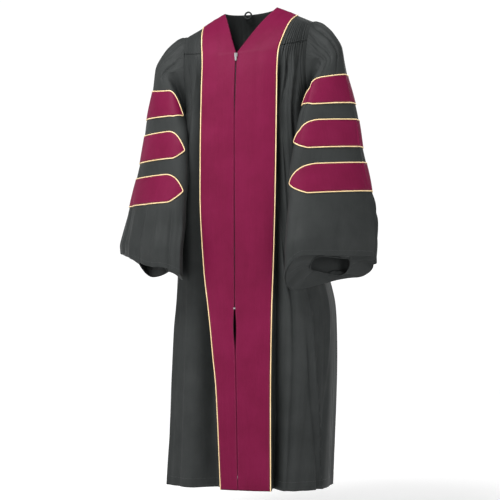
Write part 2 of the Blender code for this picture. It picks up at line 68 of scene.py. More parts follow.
# height, half width, depth in front, depth behind, sideways shift
bodySections = (
    (-0.110, 0.198, 0.106, 0.088, 0.000),
    (-0.200, 0.197, 0.121, 0.100, 0.000),
    (-0.300, 0.191, 0.130, 0.112, -0.003),
    (-0.360, 0.194, 0.133, 0.116, -0.004),
    (-0.450, 0.203, 0.135, 0.121, -0.004),
    (-0.600, 0.213, 0.138, 0.130, -0.002),
    (-0.730, 0.220, 0.140, 0.137, 0.002),
    (-0.800, 0.227, 0.142, 0.141, 0.007),
    (-0.875, 0.238, 0.145, 0.145, 0.014),
    (-0.950, 0.243, 0.147, 0.148, 0.014),
    (-1.100, 0.246, 0.149, 0.155, 0.010),
    (-1.420, 0.247, 0.155, 0.170, -0.005),
)

# height, centre line, outer edge of the left panel, outer edge of the right panel, opening
frontLines = (
    (-0.110, -0.007, 0.120, -0.120, 0.0035),
    (-0.150, -0.007, 0.114, -0.114, 0.0035),
    (-0.260, -0.007, 0.113, -0.113, 0.0033),
    (-0.330, -0.007, 0.113, -0.113, 0.0012),
    (-0.450, -0.006, 0.113, -0.113, 0.0012),
    (-0.600, -0.005, 0.112, -0.111, 0.0018),
    (-0.780, -0.003, 0.109, -0.098, 0.0022),
    (-0.875, -0.002, 0.107, -0.085, 0.0020),
    (-0.945, -0.001, 0.106, -0.076, 0.0090),
    (-1.020, 0.001, 0.105, -0.068, 0.0016),
    (-1.130, 0.004, 0.104, -0.056, 0.0012),
    (-1.420, 0.011, 0.105, -0.040, 0.0012),
)

# height, rise for each metre to the wearer's left
shoulderTilt = (
    (0.010, 0.080),
    (-0.100, 0.078),
    (-0.200, 0.058),
    (-0.560, 0.056),
    (-0.740, 0.030),
    (-0.900, 0.012),
    (-1.420, 0.000),
)

# turn at the top, turn at the hem, first height, full height, half width in degrees, depth
skirtFolds = (
    (27, 27, -0.26, -1.30, 5.0, 0.013),
    (37, 36, -0.15, -0.90, 4.5, 0.009),
    (60, 48, -0.70, -1.35, 8.0, 0.005),
    (76, 72, -0.60, -1.20, 8.0, 0.007),
    (-30, -22, -0.30, -1.25, 6.5, 0.013),
    (-50, -44, -0.40, -1.30, 7.0, 0.006),
    (-74, -70, -0.55, -1.20, 8.0, 0.010),
)

# sleeve rings: centre x, centre y, half size outwards, half size forwards, lean, twist,
# then height on the top, front, underarm and back lines
sleeveRings = (
    (0.1930, 0.003, 0.0035, 0.063, 0, 0, -0.060, -0.170, -0.300, -0.170),
    (0.2105, -0.001, 0.0165, 0.063, 6, 4, -0.069, -0.171, -0.303, -0.172),
    (0.2250, -0.007, 0.0300, 0.058, 16, 15, -0.097, -0.176, -0.307, -0.182),
    (0.2420, -0.018, 0.0460, 0.050, 28, 30, -0.145, -0.190, -0.312, -0.200),
    (0.2466, -0.034, 0.0640, 0.041, 38, 45, -0.225, -0.233, -0.322, -0.240),
    (0.2520, -0.050, 0.0880, 0.039, 40, 45, -0.305, -0.308, -0.355, -0.315),
    (0.2540, -0.053, 0.0990, 0.039, 40, 45, -0.358, -0.358, -0.388, -0.368),
    (0.2570, -0.065, 0.1110, 0.042, 40, 45, -0.436, -0.436, -0.450, -0.444),
    (0.2604, -0.072, 0.1210, 0.046, 40, 45, -0.487, -0.487, -0.495, -0.492),
    (0.2707, -0.080, 0.1310, 0.052, 40, 45, -0.567, -0.567, -0.570, -0.572),
    (0.2764, -0.091, 0.1400, 0.056, 40, 45, -0.640, -0.637, -0.648, -0.652),
    (0.2790, -0.110, 0.1430, 0.057, 40, 45, -0.700, -0.695, -0.730, -0.745),
    (0.2770, -0.113, 0.1410, 0.056, 40, 45, -0.748, -0.742, -0.840, -0.808),
)
# the right sleeve's lower edge: heights on the same four lines
rightRim = (-0.718, -0.764, -0.805, -0.745)
# the wrist opening inside the cuff, given as a sleeve ring
wristRing = (0.2730, -0.098, 0.062, 0.036, 40, 45, -0.752, -0.744, -0.784, -0.799)


def smooth(value):
    value = np.clip(value, 0.0, 1.0)
    return value * value * (3 - 2 * value)


def mix(first, second, share):
    return first * (1 - share) + second * share


def unit(vectors):
    return vectors / np.linalg.norm(vectors, axis=-1, keepdims=True)


def runAlong(points):
    # the length of the path up to each of its points
    return np.concatenate([[0], np.cumsum(np.linalg.norm(np.diff(points, axis=0), axis=1))])


def hermite(start, end, leave, arrive, share):
    # a smooth curve between two values that leaves and arrives at given slopes
    return (start * (2 * share ** 3 - 3 * share ** 2 + 1) + leave * (share ** 3 - 2 * share ** 2 + share)
            + end * (3 * share ** 2 - 2 * share ** 3) + arrive * (share ** 3 - share ** 2))


def tableReader(table, column):
    # a smooth curve through one column of a table whose first column is height
    heights = np.array([row[0] for row in table], float)
    values = np.array([row[column] for row in table], float)
    low = np.maximum(np.arange(len(table)) - 1, 0)
    high = np.minimum(np.arange(len(table)) + 1, len(table) - 1)
    slopes = (values[high] - values[low]) / (heights[high] - heights[low])
    dense = np.linspace(heights[0], heights[-1], 1500)
    index = np.clip(np.searchsorted(-heights, -dense, side="right") - 1, 0, len(table) - 2)
    step = heights[index + 1] - heights[index]
    share = (dense - heights[index]) / step
    curve = hermite(values[index], values[index + 1], step * slopes[index], step * slopes[index + 1], share)
    return lambda height: np.interp(-np.asarray(height, float), -dense, curve)


bodyHalf, bodyFront, bodyBehind, bodyShift = (tableReader(bodySections, column) for column in (1, 2, 3, 4))
centreLine, leftEdge, rightEdge, zipGap = (tableReader(frontLines, column) for column in (1, 2, 3, 4))
tiltSlope = tableReader(shoulderTilt, 1)


def tilted(points):
    points = points.copy()
    points[..., 2] += points[..., 0] * tiltSlope(points[..., 2])
    return points


def armholeLoop(turn):
    angle = np.radians(np.asarray(turn, float))
    depth = np.where(np.sin(angle) > 0, form["armFront"], form["armBack"])
    middle = form["tipHeight"] - form["armDepth"] / 2
    return np.stack([
        form["armX"] + form["armBulge"] * np.cos(angle) - form["armBend"] * np.sin(angle) ** 2,
        form["tipY"] * (1 - np.abs(np.sin(angle))) - depth * np.sin(angle),
        middle + form["armDepth"] / 2 * np.cos(angle) + form["armBend"] * np.sin(angle) ** 2,
    ], -1)


def bodySurface(turn, height):
    angle = np.radians(turn)
    depth = np.where(np.cos(angle) > 0, bodyFront(height), -bodyBehind(height))
    across = np.sign(np.sin(angle)) * np.abs(np.sin(angle)) ** form["square"] * bodyHalf(height)
    away = np.abs(np.cos(angle)) ** form["square"] * depth
    return np.stack([bodyShift(height) + across, -away, height + 0 * away], -1)


def skirtDepth(turn, height):
    total = 0 * turn
    for top, hem, first, full, half, depth in skirtFolds:
        reach = smooth((first - height) / (first - full))
        place = top + (hem - top) * (first - height) / (first - form["hem"])
        away = np.abs(turn - place) / half
        fold = depth * reach * (0.5 + 0.5 * np.cos(pi * away))
        total = total + np.where((away < 1) & (height < first), fold, 0)
    return total


def wrapTurn(turns, place):
    return (turns - place + 180) % 360 - 180


def creaseDepth(across, along, creases, apart=np.subtract):
    # each crease: across and along at its start, the same at its end, bow, half width,
    # depth, fade in, fade out; apart says how far across a point is from the crease
    total = 0 * across
    for a0, l0, a1, l1, bow, half, depth, fadeIn, fadeOut in creases:
        share = (along - l0) / (l1 - l0)
        inside = np.clip(share, 0, 1)
        place = a0 + (a1 - a0) * inside + bow * np.sin(pi * inside)
        ends = smooth(share / fadeIn) * smooth((1 - share) / fadeOut)
        total = total + depth * ends * np.exp(-(apart(across, place) / half) ** 2)
    return total


def tuckWaves(spread, coarse, fine, phase):
    # small gathers: two sines of different fineness
    return np.sin(2 * pi * spread * coarse) * 0.6 + np.sin(2 * pi * spread * fine + phase) * 0.4


def softNoise(across, along, seed, waves=7, low=1.0, high=6.0):
    # a few seeded sines stand in for uneven hand-pressed cloth
    chance = np.random.default_rng(seed)
    total = 0 * across
    for _ in range(waves):
        turn = chance.uniform(low, high)
        drift = chance.uniform(-0.35, 0.35) * turn
        total = total + np.sin(2 * pi * (across * turn + along * drift) + chance.uniform(0, 2 * pi)) / waves
    return total


def gridNormals(grid, closed=False, out=1):
    if closed:
        across = np.roll(grid, -1, 1) - np.roll(grid, 1, 1)
    else:
        across = np.gradient(grid, axis=1)
    down = np.gradient(grid, axis=0)
    normal = np.cross(across, down) * out
    return normal / np.maximum(np.linalg.norm(normal, axis=-1, keepdims=True), 1e-12)


def relaxRow(grid, row, reach, rounds):
    # rounds off the turn across one row, such as a seam
    grid = grid.copy()
    index = np.arange(len(grid))
    weight = np.clip(1 - np.abs(index - row) / reach, 0, 1)[:, None, None] * 0.5
    for _ in range(rounds):
        middle = (grid[:-2] + grid[2:]) / 2
        grid[1:-1] += (middle - grid[1:-1]) * weight[1:-1]
    return grid


def inset(grid, top, bottom):
    # draws in the first and the last row
    grid = grid.copy()
    for near, beside, gap in ((0, 1, top), (-1, -2, bottom)):
        grid[near] += unit(grid[beside] - grid[near]) * gap
    return grid


# fronts, yokes and back
frontPlan = {
    "panelColumns": 24,
    "panelShare": 0.3,         # share of a row's width that the panel covers
    "outerColumns": 54,
    "yokeRows": 26,
    "armRows": 34,
    "bodyRows": 190,
    "gatherDepth": 0.0040,
    "gatherFall": 0.10,
    "coarseTucks": 13,
    "fineTucks": 21,
    "softDepth": 0.0012,
    "yokeLift": 0.021,         # how far the yoke rounds out over the shoulder
}

# creases of the left front: turn and height at the start, turn and height at the end,
# bow, half width in degrees, depth (above nought is a trough), fade in, fade out
leftFrontCreases = (
    (34.5, -0.13, 35.0, -1.05, 0.8, 1.7, 0.0110, 0.10, 0.60),
    (38.5, -0.13, 38.0, -0.70, 0.8, 1.2, -0.0040, 0.10, 0.60),
    (42.0, -0.13, 43.0, -0.85, -1.0, 2.0, 0.0095, 0.08, 0.70),
    (48.0, -0.14, 50.0, -0.60, 0.8, 1.6, -0.0040, 0.08, 0.70),
    (54.0, -0.15, 57.0, -0.65, 0.5, 2.4, 0.0070, 0.08, 0.70),
    (49.0, -0.78, 80.0, -1.50, -3.5, 1.1, -0.0085, 0.15, 0.08),
    (45.5, -0.84, 75.0, -1.50, -3.5, 2.6, 0.0060, 0.30, 0.10),
    (66.0, -0.82, 56.0, -1.22, 1.5, 3.0, 0.0055, 0.25, 0.55),
    (82.0, -0.80, 68.0, -1.28, 1.0, 2.6, -0.0060, 0.30, 0.50),
    (36.0, -0.85, 33.0, -1.50, 0.5, 3.0, -0.0035, 0.30, 0.05),
)
rightFrontCreases = (
    (38.0, -0.14, 36.0, -0.80, 0.8, 2.0, 0.0090, 0.10, 0.60),
    (45.0, -0.15, 47.0, -0.60, -0.8, 2.2, -0.0040, 0.08, 0.70),
    (51.0, -0.15, 53.0, -0.75, 0.6, 2.2, 0.0070, 0.08, 0.70),
    (58.0, -0.70, 60.0, -1.50, 0.0, 2.2, -0.0080, 0.25, 0.05),
    (66.0, -0.75, 70.0, -1.50, 1.5, 3.0, 0.0070, 0.30, 0.05),
    (80.0, -0.85, 76.0, -1.30, 1.0, 2.4, -0.0030, 0.25, 0.50),
)
# the deep fold beside each panel: distance from the panel at the top and at the hem,
# half width at the top and at the hem, depth at the top and at the hem
besidePanel = {
    1: (0.010, 0.021, 0.0070, 0.0155, 0.012, 0.050),
    -1: (0.014, 0.045, 0.0080, 0.0330, 0.008, 0.060),
}


def frontGrid(side):
    plan = frontPlan
    turns = np.linspace(form["armTurn"], 180, plan["armRows"])
    loop = armholeLoop(turns) * [side, 1, 1]
    innerTop = mix(form["vHeight"], loop[:, 2], smooth((turns - form["armTurn"]) / 90))
    heights = np.linspace(form["armEnd"], form["hem"], plan["bodyRows"] + 1)[1:]
    low = bodySurface(np.full(len(heights), side * 90.0), heights)
    outer = np.concatenate([loop, low])[:, None, :]
    inner = np.concatenate([innerTop, heights])[:, None]
    pulled = np.concatenate([np.ones(len(loop)), np.zeros(len(low))])[:, None]

    inPanel = np.linspace(0, 1, plan["panelColumns"] + 1)
    rest = np.linspace(0, 1, plan["outerColumns"] + 1)[1:]
    panelShare = plan["panelShare"]
    share = np.concatenate([panelShare * inPanel, panelShare + (1 - panelShare) * rest])
    height = mix(inner, outer[..., 2], share[None])
    edgeReader = leftEdge if side > 0 else rightEdge

    count = plan["panelColumns"] + 1
    zPanel = height[:, :count]
    centre = centreLine(zPanel) + side * zipGap(zPanel) / 2
    across = mix(centre, edgeReader(zPanel), inPanel[None])
    off = np.abs((across - bodyShift(zPanel)) / bodyHalf(zPanel)) ** (2 / form["square"])
    panelPart = np.stack([across, -bodyFront(zPanel) * (1 - off) ** (form["square"] / 2), zPanel], -1)

    zRest = height[:, count:]
    edgeShare = np.clip(side * (edgeReader(zRest) - bodyShift(zRest)) / bodyHalf(zRest), 0, 1)
    firstTurn = np.degrees(np.arcsin(edgeShare ** (1 / form["square"])))
    lastTurn = np.degrees(np.arctan2(
        (np.abs(outer[..., 0] - bodyShift(zRest)) / bodyHalf(zRest)) ** (1 / form["square"]),
        (np.maximum(0.0, form["tipY"] - outer[..., 1]) / bodyFront(zRest)) ** (1 / form["square"])))
    lastTurn = np.where(pulled > 0, lastTurn, 90.0)
    turn = mix(firstTurn, lastTurn, rest[None] ** 1.25)
    end = bodySurface(side * lastTurn, zRest)
    point = bodySurface(side * turn, zRest)
    creases = leftFrontCreases if side > 0 else rightFrontCreases
    depth = skirtDepth(side * turn, zRest) + creaseDepth(turn, zRest, creases)
    below = np.maximum(0, form["vHeight"] + 0.012 - zRest)
    spread = rest[None] + 0.02 * np.sin(9 * rest[None] + 1.3)
    tucks = tuckWaves(spread, plan["coarseTucks"], plan["fineTucks"], 1.1)
    fade = np.exp(-below / plan["gatherFall"]) * smooth(rest[None] * 6) * smooth((1 - rest[None]) * 5)
    depth = depth + plan["gatherDepth"] * tucks * fade
    uneven = softNoise(rest[None] + 0 * zRest, zRest, 11 + side, 8, 1.5, 7.0)
    depth = depth + plan["softDepth"] * uneven * smooth(below / 0.15)
    fallen = np.clip((-0.14 - zRest) / 1.28, 0, 1)
    distance = side * (point[..., 0] - edgeReader(zRest))
    place0, place1, half0, half1, depth0, depth1 = besidePanel[side]
    away = (distance - mix(place0, place1, fallen)) / mix(half0, half1, fallen)
    depth = depth + mix(depth0, depth1, fallen ** 0.7) * np.exp(-away ** 2) * smooth(below / 0.10)
    depth = depth * smooth(distance / 0.012)
    angle = np.radians(side * turn)
    point = point + np.stack([-np.sin(angle), np.cos(angle), 0 * angle], -1) * depth[..., None]
    miss = np.zeros_like(end)
    miss[..., :2] = (outer[..., :2] - end[..., :2]) * pulled[..., None]
    point = point + miss * (rest[None] ** 2)[..., None]
    return np.concatenate([panelPart, point], 1), share


def yokeFrontGrid(side, seam, share):
    plan = frontPlan
    rows = np.linspace(0, 1, plan["yokeRows"] + 1)
    count = plan["panelColumns"] + 1
    inPanel = np.linspace(0, 1, count)
    rest = np.linspace(0, 1, plan["outerColumns"] + 1)[1:]
    across = np.concatenate([mix(form["neckHalf"], form["panelAtShoulder"], inPanel),
                             mix(form["panelAtShoulder"], form["tipX"], rest)])
    reach = (across - form["neckHalf"]) / (form["tipX"] - form["neckHalf"])
    top = np.stack([side * across, mix(form["shoulderBack"], form["tipY"], reach),
                    mix(form["neckHeight"], form["tipHeight"], reach)], -1)
    down = rows[:, None, None]
    straight = mix(top[None], seam[None], down)
    rise = plan["yokeLift"] * mix(0.45, 1.0, np.minimum(1.0, share / plan["panelShare"]))[None, :, None]
    away = unit(mix(np.array([0, -0.30, 1.0]), np.array([0, -1.0, 0.35]), down))
    ridge = away * rise * np.sin(pi * down) * (1 - 0.45 * down)
    outer = (armholeLoop(rows * form["armTurn"]) * [side, 1, 1])[:, None]
    end = mix((armholeLoop(0) * [side, 1, 1])[None, None], seam[-1][None, None], down)
    return straight + ridge + (outer - end - ridge) * (share ** 3)[None, :, None]


backPlan = {
    "columns": 150,
    "flutes": 5,
    "fluteTop": 0.004,
    "fluteHem": 0.017,
    "gatherDepth": 0.0022,
    "gatherFall": 0.11,
    "coarseTucks": 34,
    "fineTucks": 53,
    "softDepth": 0.0016,
    "seamHeight": -0.135,      # the yoke seam at the middle
    "yokeLift": 0.011,
}
# share across and height at the start, the same at the end, then as for the fronts
backCreases = (
    (0.16, -0.16, 0.13, -1.42, 0.010, 0.011, 0.0095, 0.10, 0.03),
    (0.23, -0.15, 0.245, -0.95, -0.008, 0.009, -0.0076, 0.08, 0.60),
    (0.31, -0.15, 0.30, -1.42, 0.010, 0.010, 0.0085, 0.08, 0.03),
    (0.38, -0.15, 0.395, -0.80, 0.006, 0.008, 0.0085, 0.08, 0.60),
    (0.46, -0.15, 0.45, -1.42, -0.006, 0.010, -0.0076, 0.08, 0.05),
    (0.54, -0.15, 0.55, -1.10, 0.008, 0.009, 0.0085, 0.08, 0.45),
    (0.61, -0.15, 0.60, -1.42, 0.006, 0.011, 0.0076, 0.08, 0.03),
    (0.69, -0.15, 0.70, -0.85, -0.006, 0.009, -0.0085, 0.08, 0.60),
    (0.76, -0.15, 0.78, -1.42, 0.010, 0.010, 0.0095, 0.08, 0.03),
    (0.85, -0.16, 0.87, -1.20, -0.006, 0.011, -0.0076, 0.10, 0.30),
)


def backGrid():
    plan = backPlan
    turns = np.linspace(form["armTurn"], 180, frontPlan["armRows"])
    loop = armholeLoop(-turns)
    heights = np.linspace(form["armEnd"], form["hem"], frontPlan["bodyRows"] + 1)[1:]
    share = np.linspace(0, 1, plan["columns"] + 1)[None]
    side = np.where(share > 0.5, 1.0, -1.0)
    off = np.abs(2 * share - 1)
    rowHeight = loop[:, 2][:, None]
    inner = mix(plan["seamHeight"], rowHeight, smooth((turns[:, None] - form["armTurn"]) / 90))
    firstTop = 180 - np.degrees(np.arctan2(
        (loop[:, 0][:, None] / bodyHalf(rowHeight)) ** (1 / form["square"]),
        (np.maximum(0.0, loop[:, 1][:, None] - form["tipY"]) / bodyBehind(rowHeight)) ** (1 / form["square"])))
    endTop = bodySurface(side * firstTop, rowHeight + 0 * side)
    missTop = np.zeros_like(endTop)
    missTop[..., 0] = side * loop[:, 0][:, None] - endTop[..., 0]
    missTop[..., 1] = loop[:, 1][:, None] - endTop[..., 1]
    heightTop = mix(inner, rowHeight, off ** 2)
    height = np.concatenate([heightTop, heights[:, None] + 0 * share])
    first = np.concatenate([firstTop + 0 * share, 90 + 0 * heights[:, None] * share])
    miss = np.concatenate([missTop * (off ** 4)[..., None], np.zeros((len(heights), share.shape[1], 3))])
    turn = side * mix(180.0, first, off)
    point = bodySurface(turn, height) + miss
    reach = smooth((-0.13 - height) / 1.2)
    edge = np.minimum(1.0, 3.0 * (1 - off))
    size = mix(plan["fluteTop"], plan["fluteHem"], reach) * edge
    uneven = 1 + 0.30 * np.sin(5.1 * share + 0.6)
    swing = np.cos(2 * pi * plan["flutes"] * share + pi) * uneven * size
    swing = swing - creaseDepth(share + 0 * height, height, backCreases) * edge
    below = np.maximum(0, plan["seamHeight"] - height)
    spread = share + 0.008 * np.sin(17 * share + 0.4)
    tucks = tuckWaves(spread, plan["coarseTucks"], plan["fineTucks"], 0.8)
    swing = swing + plan["gatherDepth"] * tucks * np.exp(-below / plan["gatherFall"]) * edge
    uneven = softNoise(share + 0 * height, height, 5, 9, 3, 14)
    swing = swing + plan["softDepth"] * uneven * smooth(below / 0.2) * edge
    angle = np.radians(turn)
    return point + np.stack([np.sin(angle), -np.cos(angle), 0 * angle], -1) * swing[..., None]


def yokeBackGrid(seam):
    rows = np.linspace(0, 1, frontPlan["yokeRows"] + 1)
    share = np.linspace(0, 1, backPlan["columns"] + 1)
    side = np.where(share > 0.5, 1.0, -1.0)
    off = np.abs(2 * share - 1)
    angle = np.minimum(off / 0.5, 1) * pi / 2
    cosine = np.maximum(np.cos(angle), 0)
    neck = np.stack([side * form["neckHalf"] * np.sin(angle),
                     form["shoulderBack"] + (form["backNeckY"] - form["shoulderBack"]) * cosine ** 1.1,
                     form["neckHeight"] + (form["backNeckHeight"] - form["neckHeight"]) * cosine ** 1.3], -1)
    reach = np.clip((off - 0.5) / 0.5, 0, 1)
    line = np.stack([side * mix(form["neckHalf"], form["tipX"], reach),
                     mix(form["shoulderBack"], form["tipY"], reach),
                     mix(form["neckHeight"], form["tipHeight"], reach)], -1)
    top = np.where((off <= 0.5)[:, None], neck, line)
    down = rows[:, None, None]
    straight = mix(top[None], seam[None], down)
    ridge = np.array([0, 0.85, 0.52]) * backPlan["yokeLift"] * np.sin(pi * down)
    sideways = np.stack([side, np.ones_like(side), np.ones_like(side)], -1)
    outer = armholeLoop(-rows * form["armTurn"])[:, None] * sideways[None]
    ends = np.where((side > 0)[:, None], seam[-1][None], seam[0][None])
    end = mix((armholeLoop(0)[None] * sideways)[None], ends[None], down)
    return straight + ridge + (outer - end - ridge) * (off ** 3)[None, :, None]


# sleeves and cuffs
sleevePlan = {
    "columns": 144,
    "rowsPerRing": 11,
    "capDepth": 0.0034,
    "startGap": 0.0003,
    "softDepth": 0.0012,
    "curvePull": 0.35,         # how tightly the form follows its rings
    "rightCloser": 0.013,      # how much closer to the body the right sleeve hangs
    "swell": 0.008,            # uneven roundness of the lower sleeve
    "cuffRows": 30,
    "cuffIn": 0.0022,          # where the turned-in cuff starts, inside the rim
    "cuffUp": 0.0012,
    "cuffBulge": 0.008,
    "broadPleats": 0.0070,
    "finePleats": 0.0030,
    "rightWristUp": 0.006,
    "edgeBelow": 0.0012,
    "edgeRadius": 0.0020,      # the cord bound into the wrist edge
}
# turn and ring at the start, the same at the end, bow, half width, depth, fade in, fade out
leftSleeveCreases = (
    (26, 0.1, 34, 4.2, 2, 3.2, 0.0060, 0.10, 0.35),
    (12, 0.1, 10, 3.6, 1, 3.0, -0.0045, 0.10, 0.50),
    (45, 0.1, 60, 3.8, 3, 3.4, 0.0050, 0.10, 0.50),
    (62, 0.2, 84, 4.6, 4, 3.6, -0.0040, 0.10, 0.50),
    (-14, 0.1, -20, 3.8, 2, 3.4, 0.0050, 0.10, 0.50),
    (-36, 0.1, -46, 4.0, 2, 3.6, -0.0045, 0.10, 0.50),
    (-60, 0.1, -74, 4.2, -2, 3.6, 0.0050, 0.10, 0.50),
    (100, 1.5, 112, 8.0, 4, 5.0, 0.0040, 0.20, 0.40),
    (40, 9.4, 46, 12.4, 2, 6.0, 0.0025, 0.35, 0.10),
    (108, 9.6, 104, 12.4, 2, 7.0, 0.0030, 0.35, 0.10),
    (-4, 5.2, -8, 9.0, -2, 1.6, -0.0035, 0.20, 0.30),
    (-16, 8.6, -24, 12.4, -3, 1.8, -0.0070, 0.25, 0.10),
    (-35, 10.4, -37, 12.8, 0, 3.4, -0.0130, 0.60, 0.05),
    (-30, 8.4, -40, 12.4, 2, 4.5, 0.0080, 0.30, 0.10),
    (-72, 8.8, -70, 12.2, 2, 5.5, 0.0070, 0.35, 0.10),
    (-104, 9.0, -108, 12.2, 2, 5.0, -0.0050, 0.35, 0.10),
    (160, 8.0, 165, 12.2, 2, 6.0, 0.0070, 0.35, 0.10),
)
rightSleeveCreases = (
    (20, 0.1, 26, 4.0, 2, 3.2, 0.0055, 0.10, 0.40),
    (36, 0.1, 50, 4.4, 1, 3.0, -0.0045, 0.10, 0.50),
    (56, 0.1, 74, 3.8, 3, 3.4, 0.0055, 0.10, 0.50),
    (4, 0.2, 2, 3.6, 4, 3.6, -0.0040, 0.10, 0.50),
    (-20, 0.1, -26, 3.8, 2, 3.4, 0.0050, 0.10, 0.50),
    (-42, 0.1, -52, 4.0, 2, 3.6, -0.0045, 0.10, 0.50),
    (-66, 0.1, -80, 4.2, -2, 3.6, 0.0050, 0.10, 0.50),
    (14, 8.4, 10, 12.2, 2, 5.0, 0.0070, 0.30, 0.10),
    (34, 8.8, 38, 12.2, 2, 4.6, -0.0050, 0.35, 0.10),
    (58, 8.6, 56, 12.2, -2, 5.0, 0.0070, 0.35, 0.10),
    (84, 9.0, 86, 12.2, 2, 5.0, -0.0055, 0.35, 0.10),
    (110, 8.8, 114, 12.2, 2, 5.4, 0.0070, 0.35, 0.10),
    (140, 9.2, 138, 12.2, 2, 5.0, -0.0050, 0.35, 0.10),
    (-16, 9.0, -12, 12.2, -2, 5.0, -0.0050, 0.35, 0.10),
    (-46, 8.6, -48, 12.2, 2, 5.5, 0.0070, 0.35, 0.10),
    (-80, 8.8, -76, 12.2, 2, 5.5, -0.0050, 0.35, 0.10),
    (-112, 9.0, -116, 12.2, 2, 5.0, 0.0070, 0.35, 0.10),
)


def ringPoints(ring, turns, swell=0.0):
    middleX, middleY, out, fore, lean, twist = ring[:6]
    levels = np.array(ring[6:])
    angle = np.radians(turns + twist)
    lean = radians(lean)
    quarter = (turns % 360) / 90
    first = np.minimum(quarter.astype(int), 3)
    height = mix(levels[first], levels[(first + 1) % 4], smooth(quarter - first))
    grow = 1 + swell
    return np.stack([
        middleX + grow * (out * cos(lean) * np.cos(angle) + fore * sin(lean) * np.sin(angle)),
        middleY + grow * (out * sin(lean) * np.cos(angle) - fore * cos(lean) * np.sin(angle)),
        height,
    ], -1)


def sleeveGrid(side):
    plan = sleevePlan
    turns = np.arange(plan["columns"]) * 360 / plan["columns"]
    last = len(sleeveRings) - 1
    rings = []
    for index, ring in enumerate(sleeveRings):
        if index == 0:
            rings.append(armholeLoop(turns) + [plan["startGap"], 0, 0])
            continue
        if side < 0 and index >= last - 1:
            share = 0.45 if index == last - 1 else 1.0
            ring = ring[:6] + tuple(old + (new - rim) * share
                                    for old, new, rim in zip(ring[6:], rightRim, sleeveRings[last][6:]))
        swell = plan["swell"] * smooth((index - 7) / 5) * np.cos(np.radians(5 * turns + 40))
        rings.append(ringPoints(ring, turns, swell))
    rings = np.array(rings)
    level = np.linspace(0, last, last * plan["rowsPerRing"] + 1)
    index = np.minimum(level.astype(int), last - 1)
    share = (level - index)[:, None, None]
    before = rings[np.maximum(index - 1, 0)]
    here = rings[index]
    after = rings[index + 1]
    beyond = rings[np.minimum(index + 2, last)]
    pull = plan["curvePull"]
    grid = hermite(here, after, (after - before) * pull, (beyond - here) * pull, share)
    if side < 0:
        inner = 0.5 - 0.5 * np.cos(np.radians(turns - 20))
        grid[..., 0] -= plan["rightCloser"] * inner[None] * smooth((level[:, None] - 2.5) / 3)
    grid = grid * [side, 1, 1]
    creases = leftSleeveCreases if side > 0 else rightSleeveCreases
    depth = creaseDepth(turns[None], level[:, None], creases, wrapTurn)
    top = np.exp(-(wrapTurn(turns, 0) / 88) ** 8)[None]
    spread = turns[None] / 360
    tucks = (np.sin(2 * pi * spread * 62 + 2 * np.sin(spread * 23)) * 0.65
             + np.sin(2 * pi * spread * 97 + 1) * 0.35)
    depth = depth + plan["capDepth"] * tucks * top * np.exp(-(level[:, None] / 0.9) ** 2)
    uneven = softNoise(spread + 0 * level[:, None], level[:, None] / 12, 21 + side, 9, 2, 9)
    depth = depth + plan["softDepth"] * uneven * smooth(level[:, None] / 3)
    depth = depth * smooth(level[:, None] / 0.12 + 0.15)
    out = gridNormals(grid, True, side)
    return grid - out * depth[..., None], level


def cuffGrid(side, sleeve):
    plan = sleevePlan
    turns = np.arange(plan["columns"]) * 360 / plan["columns"]
    rim = sleeve[-1]
    up = unit(sleeve[-6] - rim)
    inward = rim.mean(0) - rim
    inward[:, 2] = 0
    start = rim + unit(inward) * plan["cuffIn"] + up * plan["cuffUp"]
    wrist = ringPoints(wristRing, turns) * [side, 1, 1]
    if side < 0:
        wrist[:, 2] += plan["rightWristUp"]
    share = np.linspace(0, 1, plan["cuffRows"])[:, None, None]
    grid = mix(start[None], wrist[None], share)
    pleat = (plan["broadPleats"] * np.cos(np.radians(7 * turns + 35 * np.sin(np.radians(2 * turns)) + 30))
             + plan["finePleats"] * np.abs(np.cos(np.radians(11 * turns + 20))))
    between = np.sin(pi * share[..., 0])
    grid[..., 2] += plan["cuffBulge"] * between + pleat[None] * between ** 0.8
    return grid


# making meshes
def addObject(name, data):
    piece = bpy.data.objects.new(name, data)
    bpy.context.scene.collection.objects.link(piece)
    return piece


def addSmooth(name, vertices, faces, uvs, material):
    # a smooth mesh with its UV in metres
    mesh = bpy.data.meshes.new(name)
    mesh.from_pydata(vertices.tolist(), [], faces)
    mesh.uv_layers.new(name="UVMap").data.foreach_set("uv", np.asarray(uvs, np.float32).ravel())
    mesh.polygons.foreach_set("use_smooth", [True] * len(mesh.polygons))
    mesh.materials.append(material)
    return addObject(name, mesh)


def rideGown(piece):
    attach(piece, "gown")
    return piece


def addCloth(name, grid, material, closed=False, out=1, wall=form["cloth"]):
    # a grid becomes a sheet with its measured UV in metres, then gets its wall
    grid = tilted(grid)
    rows, columns = grid.shape[:2]
    if closed:
        grid = np.concatenate([grid, grid[:, :1]], 1)
        columns += 1
    across = np.zeros((rows, columns))
    across[:, 1:] = np.cumsum(np.linalg.norm(np.diff(grid, axis=1), axis=-1), 1)
    down = np.zeros((rows, columns))
    down[1:] = np.cumsum(np.linalg.norm(np.diff(grid, axis=0), axis=-1), 0)
    across -= across[:, -1:] / 2
    faces = []
    width = columns - 1 if closed else columns
    uvLoops = []
    for row in range(rows - 1):
        for column in range(columns - 1):
            after = (column + 1) % width if closed else column + 1
            face = (row * width + column, row * width + after,
                    (row + 1) * width + after, (row + 1) * width + column)
            corners = ((row, column), (row, column + 1), (row + 1, column + 1), (row + 1, column))
            if out < 0:
                face, corners = face[::-1], corners[::-1]
            faces.append(face)
            uvLoops.extend(corners)
    uvLoops = np.array(uvLoops)
    flat = np.stack([across, -down], -1)[uvLoops[:, 0], uvLoops[:, 1]]
    piece = addSmooth(name + "_cloth", grid[:, :width].reshape(-1, 3), faces, flat, material)
    thick = piece.modifiers.new("wall", "SOLIDIFY")
    thick.thickness = wall
    thick.offset = 0.0
    return rideGown(piece)


